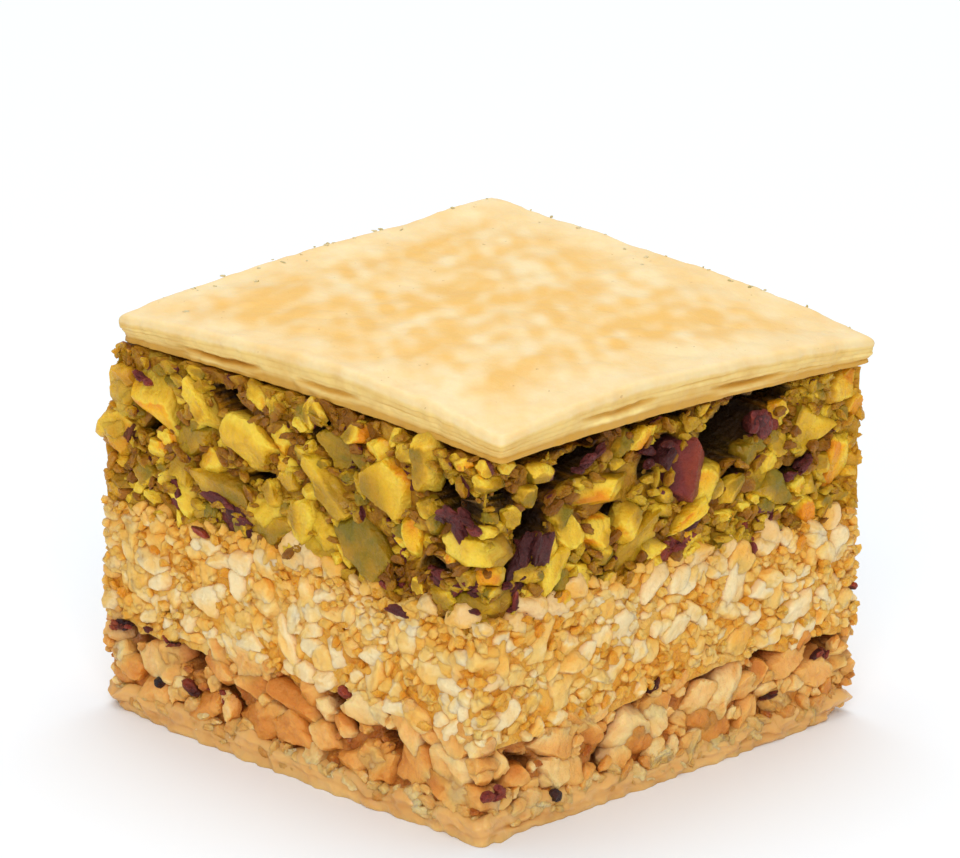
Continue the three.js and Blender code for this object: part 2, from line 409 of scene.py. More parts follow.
@dataclass(frozen=True)
class Oval:
    """A turned oval on a layer's cut sides: its middle, its half sizes, and its turn in degrees."""

    way: float
    rise: float
    wide: float
    tall: float
    turn: float = 0.0


@dataclass(frozen=True)
class Layer:
    """The room that a layer takes in the block, between two faces."""

    block: Block
    low: Surface
    high: Surface

    @property
    def tall(self) -> float:
        """The layer's height in the middle of the block."""
        zero = np.zeros(1)
        return float(self.high(zero, zero)[0] - self.low(zero, zero)[0])

    def foot(self, way: float) -> float:
        """The height of the layer's foot at a place round the block."""
        return float(self.at(self.low, np.array(way)))

    def room(self, way: float) -> float:
        """How tall the layer is at a place round the block."""
        return float(self.at(self.high, np.array(way))) - self.foot(way)

    def region(self, way: Array, rise: Array) -> Array:
        """The tone that crumbs near a place share, which drifts slowly over the cut sides."""
        return 0.5 + 0.28 * np.sin(way / 2.1 + 0.9 * rise + 1.1) + 0.22 * np.sin(way / 4.7 - rise / 1.6)

    def at(self, surface: Surface, way: Array) -> Array:
        """The heights of a surface at places round the block."""
        plan = self.block.plan(way)
        return surface(plan[..., 0], plan[..., 1])


@dataclass
class WallMap:
    """A grid over a layer's four cut sides: the way round the block, and the rise from the layer's foot."""

    layer: Layer
    step: float
    ways: Array = field(init=False)
    rises: Array = field(init=False)

    def __post_init__(self) -> None:
        """Lays out the grid."""
        self.ways = np.arange(round(self.layer.block.around / self.step)) * self.step
        self.rises = np.arange(round(self.layer.tall / self.step) + 1) * self.step

    def find(self, oval: Oval) -> tuple[tuple, Array]:
        """Finds the part of the grid round an oval.

        Args:
            oval: The oval.

        Returns:
            The index of the part, and how far out each of its points is, 1 being on the oval.
        """
        reach = 1.3 * max(oval.wide, oval.tall)
        start, end = (int((oval.way + way) / self.step) for way in (-reach, reach))
        low, high = (int((oval.rise + way) / self.step) for way in (-reach, reach))
        columns = np.arange(start - 1, end + 2)
        first = min(max(low - 1, 0), len(self.rises) - 1)
        rows = np.arange(first, max(min(high + 2, len(self.rises)), first + 1))
        across = columns[None, :] * self.step - oval.way
        up = rows[:, None] * self.step - oval.rise
        a, b = turned(across, up, -math.radians(oval.turn))
        return np.ix_(rows, columns % len(self.ways)), (a / oval.wide) ** 2 + (b / oval.tall) ** 2


@dataclass
class Heap(WallMap):
    """How far behind the cut sides the front of the heaped pieces lies.

    core is the depth of the bare core, less where syrup fills the upright edges by the filled share.
    """

    core: float = 1.6
    filled: float = 1.0
    fronts: Array = field(init=False)

    def __post_init__(self) -> None:
        """Starts with the bare core."""
        super().__post_init__()
        open_share = 1.0 - self.filled * self.layer.block.corner_fill(self.ways)
        self.fronts = np.full((len(self.rises), len(self.ways)), self.core) * open_share

    def lay(self, oval: Oval, inset: float, bulge: float) -> None:
        """Adds a piece to the heap's front.

        Args:
            oval: Where the piece is.
            inset: How far behind the cut side its face is.
            bulge: How much deeper its rim is.
        """
        part, out = self.find(oval)
        front = np.where(out < 1.0, inset + bulge * out, self.core * 3.0)
        self.fronts[part] = np.minimum(self.fronts[part], front)

    def depth(self, oval: Oval) -> float:
        """The mean depth of the heap's front inside an oval.

        Args:
            oval: The oval.

        Returns:
            The depth, or 0 where the oval is too small to hold a point of the grid.
        """
        part, out = self.find(oval)
        held = self.fronts[part][out < 1.0]
        return float(held.mean()) if held.size else 0.0


@dataclass(frozen=True)
class Spot:
    """Something on a cut side: its middle, its size as seen, and its turn in degrees."""

    side: Side
    along: float
    height: float
    wide: float
    tall: float
    turn: float = 0.0

    @classmethod
    def on(cls, side: Side, *rows: tuple[float, ...]) -> tuple:
        """Makes one spot of this kind on a cut side for each row of its other values."""
        return tuple(cls(side, *row) for row in rows)

    def oval(self, layer: Layer, share: float = 1.0) -> Oval:
        """Finds the oval that the spot covers.

        Args:
            layer: The layer that it lies in.
            share: The share of its size that counts.

        Returns:
            The oval on the layer's cut sides.
        """
        way = layer.block.way(self.side, self.along)
        rise = self.height - layer.foot(way)
        return Oval(way, rise, share * self.wide / 2.0, share * self.tall / 2.0, self.turn)


@dataclass(frozen=True)
class Hollow(Spot):
    """A hollow in a cut side, that deep, painted dark inside and round its rim as shade."""

    deep: float = 2.0


@dataclass
class CrumbWall(WallMap):
    """A layer's core, whose four sides are a relief of crumbs bound with syrup.

    depth is how far behind the cut sides it lies, less where syrup fills the upright edges by the
    filled share. It reaches lap below the layer and rise above it. blend is how far the tones of
    crumbs lean to their region's tone.
    """

    depth: float
    rise: float
    filled: float
    lap: float = 0.6
    blend: float = 0.6
    seed: int = 5
    relief: Array = field(init=False)
    tone: Array = field(init=False)
    painted_rim_shade: Array = field(init=False)

    def __post_init__(self) -> None:
        """Starts with smooth sides."""
        super().__post_init__()
        self.relief = np.zeros((len(self.rises), len(self.ways)))
        self.tone = np.full_like(self.relief, 0.5)
        self.painted_rim_shade = np.zeros_like(self.relief)

    def stamp(self, oval: Oval, swell: float, tone: float) -> None:
        """Adds one crumb, as a low dome of one tone.

        Args:
            oval: Where the crumb is.
            swell: How high the dome is.
            tone: The crumb's tone.
        """
        part, out = self.find(oval)
        dome = swell * np.sqrt(np.clip(1.0 - out, 0.0, 1.0))
        above = dome > self.relief[part]
        self.relief[part] = np.where(above, dome, self.relief[part])
        self.tone[part] = np.where(above, tone, self.tone[part])

    def dig(self, hollow: Hollow) -> None:
        """Digs one hollow, and paints shade over it and round its rim.

        Args:
            hollow: The hollow.
        """
        part, out = self.find(hollow.oval(self.layer))
        self.relief[part] -= hollow.deep * smoothstep(1.0 - out, -0.1, 0.15)
        # Painted shade over the hollow and a ring round it.
        self.painted_rim_shade[part] = np.maximum(self.painted_rim_shade[part], smoothstep(1.0 - out, -0.6, 0.0))

    def sprinkle(self, rng: Draws, count: int, size: Pair) -> None:
        """Covers the walls with crumbs.

        Args:
            rng: Where places, sizes and tones come from.
            count: How many crumbs.
            size: The smallest and largest half width.
        """
        for _ in range(count):
            wide = rng.uniform(*size)
            oval = Oval(
                rng.uniform(0.0, self.layer.block.around),
                rng.uniform(-0.5, self.rises[-1] + 0.5),
                wide * rng.uniform(0.8, 1.5),
                wide,
                rng.uniform(0.0, 180.0),
            )
            shared = float(self.layer.region(oval.way, oval.rise))
            tone = (1.0 - self.blend) * rng.uniform(0.0, 1.0) + self.blend * shared
            self.stamp(oval, 0.5 * wide * rng.uniform(0.5, 1.0), tone)

    def shape(self, syrup: Soak, painted_shade_depths: Pair) -> Shape:
        """Makes the closed core with its relief.

        Args:
            syrup: How much syrup has gathered at a place round the block and a height.
            painted_shade_depths: The depths behind the cut side at which painted shade starts, and at which
                it is full.

        Returns:
            The shape, with tone, shade, skin and syrup values.
        """
        block = self.layer.block
        way = np.broadcast_to(self.ways, self.relief.shape)
        flat = block.wall(way, np.full_like(way, self.depth), np.zeros_like(way))
        wavy = self.lap * 0.5 * ripples(flat, np.random.default_rng(self.seed), 2.6, 16)
        foot = self.layer.low(flat[..., 0], flat[..., 1]) - self.lap + wavy
        head = self.layer.high(flat[..., 0], flat[..., 1]) + self.rise + wavy
        height = foot + (head - foot) * np.linspace(0.0, 1.0, len(self.rises))[:, None]
        fill = self.filled * block.corner_fill(way)
        behind = self.depth * (1.0 - fill) - self.relief * (1.0 - 0.3 * fill)
        inset = behind + block.wear(*block.split(way), height)
        # Painted shade: darker the deeper the wall lies behind the cut side, and over and round the hollows.
        shade = (1.0 - smoothstep(inset, *painted_shade_depths)) * (1.0 - self.painted_rim_shade)
        values = nut_values(self.tone + 0.3 * fill, shade, np.zeros_like(shade), syrup(way, height))
        return closed_stack(block.wall(way, inset, height), values)


# Chopped pieces


@dataclass(frozen=True)
class Nut(Spot):
    """A chopped piece that shows on a cut side.

    tone runs along the finish's colours, amber is how far its rim leans to the first of them, and skin
    how much papery skin is left on its rounded surface. inset is how far behind the cut side it lies,
    and deep its size into the block, or 0 for one like its size as seen. corners and facets are how
    many knife strokes shape its rim and its face, and points is how many points it has.
    """

    tone: float = 0.5
    skin: float = 0.0
    amber: float = 0.2
    inset: float = 0.1
    deep: float = 0.0
    corners: int = 5
    facets: int = 1
    rough: float = 0.05
    form: Form = Form.CHOPPED
    points: int = 160


@dataclass
class Chopper:
    """Cuts nuts: a rounded kernel, cut flat by several strokes of a knife, with chipped edges.

    painted_shade_depths holds the depths behind the cut side at which painted shade on a piece starts,
    and at which it is full. uneven is how much the tones of its flat faces differ, and flank_shade how
    much painted shade darkens the flanks of a large piece. waves is how many waves roughen it, and
    balls keeps the balls that pieces are cut from.
    """

    block: Block
    rng: Draws
    syrup: Soak
    painted_shade_depths: Pair = (0.5, 2.8)
    uneven: float = 0.13
    flank_shade: float = 0.6
    chips: int = 3
    waves: int = 9
    balls: dict[int, tuple[Array, Array]] = field(default_factory=dict)

    def strokes(self, nut: Nut) -> tuple[Array, Array]:
        """Draws the knife strokes of one piece.

        Args:
            nut: The piece.

        Returns:
            The strokes' outward directions, and how far each is from the kernel's middle.
        """
        rng = self.rng
        spread = math.tau / nut.corners
        angles = spread * (np.arange(nut.corners) + rng.uniform(-0.38, 0.38, nut.corners))
        angles += rng.uniform(0.0, math.tau)
        rim = np.stack([np.cos(angles), rng.uniform(-0.7, 0.15, nut.corners), np.sin(angles)], 1)
        rim_reach = rng.uniform(0.5, 0.86, nut.corners)
        tilt = rng.uniform(0.0, math.tau) + math.tau * np.arange(nut.facets) / max(nut.facets, 1)
        steep = rng.uniform(0.25, 0.8, nut.facets) if nut.facets > 1 else rng.uniform(0.02, 0.3, nut.facets)
        face = np.stack([steep * np.cos(tilt), -np.ones(nut.facets), steep * np.sin(tilt)], 1)
        face_reach = rng.uniform(0.4, 0.62, nut.facets)
        chip = rng.normal(0.0, 1.0, (self.chips, 3))
        chip[:, 1] = -np.abs(chip[:, 1])
        ways = np.concatenate([rim, face, chip])
        ways /= np.linalg.norm(ways, axis=1, keepdims=True)
        return ways, np.concatenate([rim_reach, face_reach, rng.uniform(0.66, 0.9, self.chips)])

    def roughness(self, rays: Array) -> Array:
        """Draws an uneven surface over a ball's rays, mostly between -1 and 1.

        Args:
            rays: The ball's points.

        Returns:
            How far each point stands out.
        """
        pace = np.linspace(3.5, 15.0, self.waves)
        way = self.rng.normal(0.0, 1.0, (3, self.waves))
        way *= pace / np.linalg.norm(way, axis=0)
        weight = pace**-0.7
        wave = np.sin(rays @ way + self.rng.uniform(0.0, math.tau, self.waves))
        return wave @ weight / (0.7 * math.sqrt(np.sum(weight**2)))

    def place(self, nut: Nut, own: Array) -> tuple[Array, Array]:
        """Puts a piece in its place on its cut side, and above the table.

        Args:
            nut: The piece.
            own: Its points, across, into the block and up from its own middle.

        Returns:
            The placed points, and how far each lies behind the nearest cut side.
        """
        x, z = turned(own[:, 0], own[:, 2], math.radians(nut.turn))
        across = x + nut.along
        behind = own[:, 1] - own[:, 1].min() + nut.inset
        worn = behind + self.block.wear(nut.side.value, nut.along, np.array(nut.height))
        plan = turned(across, worn - self.block.half, nut.side.value * math.pi / 2.0)
        open_side = np.minimum(behind, np.clip(self.block.half - np.abs(across), 0.0, None) + 0.3)
        return np.stack([*plan, np.maximum(z + nut.height, 0.0)], 1), open_side

    def cut(self, nut: Nut) -> Shape:
        """Cuts one piece and puts it in its place.

        Args:
            nut: The piece.

        Returns:
            Its shape, with tone, shade, skin and syrup values.
        """
        if nut.points not in self.balls:
            self.balls[nut.points] = ball(nut.points)
        rays, faces = self.balls[nut.points]
        ways, reach = self.strokes(nut)
        power = nut.form.value
        cuts = np.clip(rays @ ways.T, 0.0, None) / reach
        total = 1.0 + (cuts**power).sum(1)
        rounded = smoothstep(1.0 / total, 0.25, 0.7)
        facet = self.rng.normal(0.0, self.uneven, len(reach))[cuts.argmax(1)]
        grain = self.roughness(rays)
        own = rays * (total ** (-1.0 / power) * (1.0 + nut.rough * grain))[:, None]
        deep = nut.deep or max(min(nut.wide, nut.tall), 0.55 * max(nut.wide, nut.tall))
        own = own * (np.array([nut.wide, deep, nut.tall]) / (own.max(0) - own.min(0)))
        placed, open_side = self.place(nut, own)
        out = np.hypot(own[:, 0] / nut.wide, own[:, 2] / nut.tall) * 2.0
        rim = nut.amber * smoothstep(out, 0.45, 1.05)
        drift = (0.08 + 0.03 * min(nut.wide, 3.0)) * (rays @ self.rng.normal(0.0, 1.0, 3))
        tone = nut.tone + 0.2 * rounded + 0.05 * grain + drift + facet - 0.3 * rim
        # Painted shade: darker the deeper a place lies behind the nearest open side, and on the flanks of
        # large pieces.
        flank = smoothstep(own[:, 1] - own[:, 1].min(), 0.15, 0.3 + 0.35 * deep)
        flank_shade = self.flank_shade * min(nut.wide / 4.0, 1.0)
        shade = (1.0 - smoothstep(open_side, *self.painted_shade_depths)) * (1.0 - flank_shade * flank)
        way = np.full(len(rays), self.block.way(nut.side, nut.along))
        soaked = self.syrup(way, placed[:, 2])
        return Shape(placed, faces, nut_values(np.clip(tone, 0.0, 1.0), shade, rounded * nut.skin, soaked))

    def cut_all(self, nuts: Iterable[Nut]) -> Shape:
        """Cuts every piece of a list into one shape."""
        return Shape.joined([self.cut(nut) for nut in nuts])


@dataclass(frozen=True)
class Grade:
    """One size of chopped piece, and how it is strewn over the cut sides.

    room is how far the heap's front must lie behind a new piece. A settled piece lies on the heap's
    front instead, sunk by that share of its size, and inset is then how deep that front must lie: never
    before the first depth, and always behind the second. paler is added to the tones drawn, and blend is
    how far they lean to their region's tone.
    """

    size: Pair
    tries: int
    room: float
    points: int
    inset: Pair = (0.0, 0.5)
    corners: tuple[int, int] = (4, 8)
    skin: float = 0.0
    stretch: float = 1.9
    rough: float = 0.06
    form: Form = Form.CHOPPED
    settled: bool = False
    paler: float = 0.0
    blend: float = 0.0


@dataclass
class Strewer:
    """Strews graded pieces over the cut sides, in the gaps that larger ones leave.

    over is how far above the layer's top the middle of a piece may lie, and under how far above its foot
    it must lie, both as shares of the piece's half height.
    """

    layer: Layer
    heap: Heap
    rng: Draws
    tones: tuple[Triple, ...]
    over: float = 0.2
    under: float = 0.2

    def tone(self) -> float:
        """Draws a tone: each row of tones is a weight, a middle and a spread.

        Returns:
            The tone, from 0 to 1.
        """
        weights = np.array([row[0] for row in self.tones])
        row = self.tones[self.rng.choice(len(self.tones), p=weights / weights.sum())]
        return float(np.clip(self.rng.normal(row[1], row[2]), 0.0, 1.0))

    def place(self, nuts: Iterable[Nut]) -> None:
        """Adds pieces whose places are known to the heap."""
        for nut in nuts:
            self.heap.lay(nut.oval(self.layer), nut.inset, 0.3 * min(nut.wide, nut.tall))

    def drawn(self, grade: Grade, side: Side, oval: Oval, inset: float, **own: object) -> Nut:
        """Draws a piece that fills an oval.

        Args:
            grade: The piece's grade.
            side: The cut side that it shows on.
            oval: Where it lies on the layer's cut sides.
            inset: How far behind the cut side.
            **own: Other facts about the piece.

        Returns:
            The piece, with its skin, amber rim and corners drawn.
        """
        return Nut(
            side,
            oval.way - self.layer.block.way(side, 0.0),
            self.layer.foot(oval.way) + oval.rise,
            2.0 * oval.wide,
            2.0 * oval.tall,
            inset=inset,
            skin=float(self.rng.random() < grade.skin),
            amber=0.7 * self.rng.random() ** 2,
            corners=int(self.rng.integers(*grade.corners)),
            rough=grade.rough,
            form=grade.form,
            points=grade.points,
            **own,
        )

    def wrap(self, grade: Grade) -> list[Nut]:
        """Stacks pieces along the four upright edges, so that each shows on two sides.

        Args:
            grade: The size and the way of strewing.

        Returns:
            The new pieces.
        """
        rng = self.rng
        block = self.layer.block
        made: list[Nut] = []
        for side in Side:
            edge = (side.value + 1) * block.side
            top = self.layer.room(edge - 0.01) - 1.6
            rise = rng.uniform(-0.3, 0.4)
            while rise < top:
                size = rng.uniform(*grade.size)
                wide, tall = size * rng.uniform(0.9, 1.6), size * rng.uniform(0.7, 1.0)
                way = block.way(side, block.half - rng.uniform(0.44, 0.56) * wide)
                oval = Oval(way, rise + tall / 2.0, wide / 2.0, tall / 2.0)
                inset = rng.uniform(*grade.inset)
                rise += rng.uniform(0.5, 1.1) * tall
                if self.heap.depth(oval) < 0.15 * self.heap.core or rng.random() < 0.12:
                    continue
                self.heap.lay(oval, inset, 0.3 * size)
                self.heap.lay(replace(oval, way=2.0 * edge - way), inset, 0.3 * size)
                tone, turn = self.tone(), rng.normal(0.0, 14.0)
                made.append(self.drawn(grade, side, oval, inset, tone=tone, turn=turn, deep=wide))
        return made

    def strew(self, grade: Grade) -> list[Nut]:
        """Adds pieces of one grade where there is room.

        Args:
            grade: The size and the way of strewing.

        Returns:
            The new pieces.
        """
        rng = self.rng
        block = self.layer.block
        made: list[Nut] = []
        for _ in range(grade.tries):
            size = rng.uniform(*grade.size)
            stretch = math.sqrt(rng.uniform(1.0, grade.stretch))
            wide, tall = 0.5 * size * stretch, 0.5 * size / stretch
            side = Side(int(rng.integers(SIDES)))
            reach = block.half - 0.85 * wide
            way = block.way(side, rng.uniform(-reach, reach))
            turn = rng.normal(0.0, 35.0)
            up = math.hypot(wide * math.sin(math.radians(turn)), tall * math.cos(math.radians(turn)))
            lowest = -0.6 if grade.settled else self.under
            rise = rng.uniform(lowest * up, self.layer.room(way) + self.over * up)
            depth = self.heap.depth(Oval(way, rise, 0.9 * wide, 0.9 * tall, turn))
            inset = rng.uniform(*grade.inset)
            if grade.settled:
                if depth < grade.inset[0] + (grade.inset[1] - grade.inset[0]) * rng.random():
                    continue
                inset = depth - grade.room * size
            elif depth < inset + grade.room:
                continue
            oval = Oval(way, rise, wide, tall, turn)
            self.heap.lay(oval, inset, 0.3 * size)
            tone = self.tone() * (1.0 - grade.blend) + grade.blend * float(self.layer.region(way, rise))
            tone = min(max(tone + grade.paler, 0.0), 1.0)
            nut = self.drawn(grade, side, oval, inset, tone=tone, turn=turn)
            facets = 1 if rng.random() < 0.55 else int(rng.integers(2, 4))
            made.append(replace(nut, facets=facets))
        return made


# Finishes


class Graph:
    """Adds nodes to one tree and links them."""

    def __init__(self, tree: bpy.types.NodeTree) -> None:
        """Starts with the tree's nodes removed."""
        self.tree = tree
        tree.nodes.clear()

    def add(self, kind: str, sockets: dict | None = None, **settings: object) -> bpy.types.Node:
        """Adds one node.

        Args:
            kind: The node's type name.
            sockets: Input names or numbers with a value, or with the output that feeds them.
            **settings: The node's own properties.

        Returns:
            The node.
        """
        node = self.tree.nodes.new(kind)
        for name, value in settings.items():
            setattr(node, name, value)
        for key, value in (sockets or {}).items():
            if isinstance(value, Socket):
                self.tree.links.new(value, node.inputs[key])
            else:
                node.inputs[key].default_value = value
        return node

    def math(self, operation: str, a: object, b: object = 0.0, clamp: bool = False) -> Socket:
        """Adds a sum of one or two values and returns its result."""
        return self.add("ShaderNodeMath", {0: a, 1: b}, operation=operation, use_clamp=clamp).outputs[0]

    def mix(self, share: object, a: object, b: object) -> Socket:
        """Adds a mix of two colours and returns its result."""
        return self.add("ShaderNodeMix", {0: share, 6: a, 7: b}, data_type="RGBA").outputs[2]

    def value(self, name: str) -> Socket:
        """Adds a value that the mesh holds and returns it."""
        return self.add("ShaderNodeAttribute", attribute_name=name).outputs["Fac"]

    def place(self) -> Socket:
        """Adds the object's own coordinates and returns them."""
        return self.add("ShaderNodeTexCoord").outputs["Object"]

    def effect(self, name: str, sockets: dict) -> Socket:
        """Adds a shared effect and returns its output."""
        return self.add("ShaderNodeGroup", sockets, node_tree=bpy.data.node_groups[name]).outputs[0]

    def span(
        self, value: object, low: float, high: float, first: object = 0.0, last: object = 1.0
    ) -> Socket:
        """Adds a map that takes low to first and high to last, and returns its result."""
        return self.add("ShaderNodeMapRange", {0: value, 1: low, 2: high, 3: first, 4: last}).outputs[0]

    def drawn_out(self, stretch: float) -> Socket:
        """Adds the object's own coordinates, drawn out from front corner to back.

        Args:
            stretch: How much they are drawn out.

        Returns:
            The coordinates.
        """
        mapped = self.add("ShaderNodeMapping", {"Vector": self.place()}, vector_type="TEXTURE")
        mapped.inputs["Rotation"].default_value = (0.0, 0.0, math.pi / 4.0)
        mapped.inputs["Scale"].default_value = (1.0, stretch, 1.0)
        return mapped.outputs[0]

    def noise(
        self, scale: object, detail: float = 3.0, rough: float = 0.55, place: object = None
    ) -> Socket:
        """Adds a noise.

        Args:
            scale: How many waves a metre has.
            detail: How much finer its finest waves are.
            rough: How strong the finer waves are.
            place: Where it is read, or nothing for the object's own coordinates.

        Returns:
            Its value.
        """
        sockets = {"Vector": place or self.place(), "Scale": scale, "Detail": detail, "Roughness": rough}
        return self.add("ShaderNodeTexNoise", sockets).outputs["Fac"]

    def ramp(self, share: object, stops: Iterable[tuple[float, tuple]]) -> Socket:
        """Adds a colour ramp and returns its colour.

        Args:
            share: Where the colour is read, from 0 to 1.
            stops: Places along the ramp, with their colours.

        Returns:
            The colour.
        """
        node = self.add("ShaderNodeValToRGB", {0: share})
        elements = node.color_ramp.elements
        stops = list(stops)
        while len(elements) < len(stops):
            elements.new(0.5)
        for element, (place, colour) in zip(elements, stops):
            element.position = place
            element.color = colour
        return node.outputs["Color"]


def new_group(name: str, output: str, *inputs: str) -> tuple[Graph, bpy.types.bpy_prop_collection]:
    """Starts the node group of an effect. Sockets named for a colour hold one, others hold a value.

    Args:
        name: The group's name.
        output: The name of its output.
        *inputs: The names of its inputs.

    Returns:
        A graph to fill the group, and what is given at its inputs.
    """
    tree = bpy.data.node_groups.new(name, "ShaderNodeTree")
    for label, way in [*((label, "INPUT") for label in inputs), (output, "OUTPUT")]:
        kind = "NodeSocketColor" if "Colour" in label else "NodeSocketFloat"
        tree.interface.new_socket(label, in_out=way, socket_type=kind)
    graph = Graph(tree)
    return graph, graph.add("NodeGroupInput").outputs


def build_uneven_colour() -> None:
    """Builds the effect that lets a second colour through in soft patches."""
    graph, given = new_group("uneven_colour", "Colour", "Colour", "Patch Colour", "Scale", "Amount")
    patch = graph.span(graph.noise(given["Scale"], 4.0, 0.6), 0.45, 0.68)
    share = graph.math("MULTIPLY", patch, given["Amount"], clamp=True)
    mixed = graph.mix(share, given["Colour"], given["Patch Colour"])
    graph.add("NodeGroupOutput", {"Colour": mixed})


def build_crumb_relief() -> None:
    """Builds the effect that gives the fine relief of cut nuts and baked dough."""
    graph, given = new_group("crumb_relief", "Height", "Scale", "Pits")
    noise = graph.noise(given["Scale"], 5.0, 0.62)
    sockets = {"Vector": graph.place(), "Scale": given["Scale"]}
    cells = graph.add("ShaderNodeTexVoronoi", sockets).outputs["Distance"]
    pits = graph.math("MULTIPLY", cells, given["Pits"])
    graph.add("NodeGroupOutput", {"Height": graph.math("ADD", noise, pits)})


def build_uneven_gloss() -> None:
    """Builds the effect that varies roughness between damp and dry."""
    graph, given = new_group("uneven_gloss", "Roughness", "Scale", "Damp", "Dry")
    noise = graph.noise(given["Scale"], 3.0, 0.5)
    rough = graph.span(noise, 0.35, 0.65, given["Damp"], given["Dry"])
    graph.add("NodeGroupOutput", {"Roughness": rough})


def new_material(name: str) -> tuple[bpy.types.Material, Graph]:
    """Starts a material, and gives a graph to fill it.

    Args:
        name: Its name.

    Returns:
        The material, and its empty graph.
    """
    made = bpy.data.materials.new(name)
    made.use_nodes = True
    return made, Graph(made.node_tree)


@dataclass(frozen=True, kw_only=True)
class Finish:
    """What every finish of the piece has: an uneven gloss, a fine relief and a glow from within.

    gloss runs from damp to dry and glossy_parts is how many such parts a metre has. coat is the share
    of syrup on top, relief and relief_depth the strength and depth in metres of the relief, grain how
    many grains of it a metre has and pits how deep they are. glow, bleed and bleed_depth say how far
    light spreads inside.
    """

    name: str
    gloss: Pair
    glossy_parts: float
    coat: float = 0.08
    coat_rough: float
    shine: float
    relief: float
    relief_depth: float
    grain: float
    pits: float
    glow: float
    bleed: Triple
    bleed_depth: float

    def colour(self, graph: Graph) -> Socket:
        """Adds the finish's colour and returns it."""
        raise NotImplementedError

    def material(self) -> bpy.types.Material:
        """Builds the material.

        Returns:
            The material.
        """
        made, graph = new_material(self.name)
        damp, dry = self.gloss
        gloss = {"Scale": self.glossy_parts, "Damp": damp, "Dry": dry}
        grain = {"Scale": self.grain, "Pits": self.pits}
        bump = {
            "Strength": self.relief,
            "Distance": self.relief_depth,
            "Height": graph.effect("crumb_relief", grain),
        }
        surface = graph.add(
            "ShaderNodeBsdfPrincipled",
            {
                "Base Color": self.colour(graph),
                "Roughness": graph.effect("uneven_gloss", gloss),
                "Normal": graph.add("ShaderNodeBump", bump).outputs[0],
                "Specular IOR Level": self.shine,
                "Coat Weight": self.coat,
                "Coat Roughness": self.coat_rough,
                "Subsurface Weight": self.glow,
                "Subsurface Radius": self.bleed,
                "Subsurface Scale": self.bleed_depth,
            },
        )
        graph.add("ShaderNodeOutputMaterial", {"Surface": surface.outputs[0]})
        return made


@dataclass(frozen=True, kw_only=True)
class NutFinish(Finish):
    """The finish of chopped nuts and of the crumbs between them.

    tones are the colours that a piece's tone runs along. patch lies over them in soft patches, by
    patch_amount. painted_shade_colour is painted shade, laid over the nut where its shade value is
    low, by the painted_shade_share. drifts, patches, flakes and skin_grain are how many waves of each
    a metre has, soaked is how far syrup colours what it soaks, and sharp the angle in degrees from
    which an edge is crisp.
    """

    tones: tuple[tuple[float, Colour], ...]
    patch: Colour
    painted_shade_colour: Colour
    skin: Colour = (127, 55, 57)
    syrup: Colour = (230, 158, 30)
    painted_shade_share: float = 0.8
    patch_amount: float = 0.35
    sharp: float = 36.0
    drifts: float = 260.0
    patches: float = 620.0
    flakes: float = 500.0
    skin_grain: float = 700.0
    soaked: float = 0.75
    gloss: Pair = (0.32, 0.55)
    glossy_parts: float = 350.0
    coat_rough: float = 0.12
    shine: float = 0.25
    relief: float = 0.8
    relief_depth: float = 0.0007
    grain: float = 1700.0
    pits: float = 0.35
    glow: float = 0.2
    bleed: Triple = (1.0, 0.65, 0.3)
    bleed_depth: float = 0.0012

    def peeled(self, graph: Graph) -> Socket:
        """Adds the colour of the bare nut, in tones and patches, and returns it.

        Args:
            graph: The material's graph.

        Returns:
            The colour.
        """
        drift = graph.math("MULTIPLY", graph.math("SUBTRACT", graph.noise(self.drifts), 0.5), 0.5)
        tone = graph.math("ADD", graph.value("tone"), drift, clamp=True)
        colour = graph.ramp(tone, [(place, linear(c)) for place, c in self.tones])
        patch = {"Patch Colour": linear(self.patch), "Scale": self.patches, "Amount": self.patch_amount}
        return graph.effect("uneven_colour", {"Colour": colour, **patch})

    def colour(self, graph: Graph) -> Socket:
        """Adds the bare nut under skin, syrup and painted shade.

        Args:
            graph: The material's graph.

        Returns:
            The colour.
        """
        torn = graph.math("SUBTRACT", graph.noise(self.flakes), 0.5)
        flecked = graph.math("ADD", graph.value("skin"), torn)
        dark_skin = tuple(0.35 * c for c in linear(self.skin)[:3]) + (1.0,)
        skin = graph.mix(graph.noise(self.skin_grain), dark_skin, linear(self.skin))
        skinned = graph.mix(graph.math("GREATER_THAN", flecked, 0.55), self.peeled(graph), skin)
        syrup = graph.value("syrup")
        soaked = graph.mix(graph.math("MULTIPLY", syrup, self.soaked), skinned, linear(self.syrup))
        # Painted shade: the painted shade colour is laid over where the shade value is low, less where syrup
        # lies.
        dark = graph.math("SUBTRACT", 1.0, graph.value("shade"), clamp=True)
        clear = graph.math("SUBTRACT", 1.0, graph.math("MULTIPLY", syrup, 0.6))
        shaded = graph.math("MULTIPLY", graph.math("MULTIPLY", dark, self.painted_shade_share), clear)
        return graph.mix(shaded, soaked, linear(self.painted_shade_colour))


@dataclass(frozen=True, kw_only=True)
class CrumbFinish(NutFinish):
    """The finish of crumbs bound with syrup, rougher than the cut nuts and wetter."""

    gloss: Pair = (0.25, 0.5)
    coat: float = 0.12
    relief: float = 0.9
    grain: float = 1600.0
    glow: float = 0.4


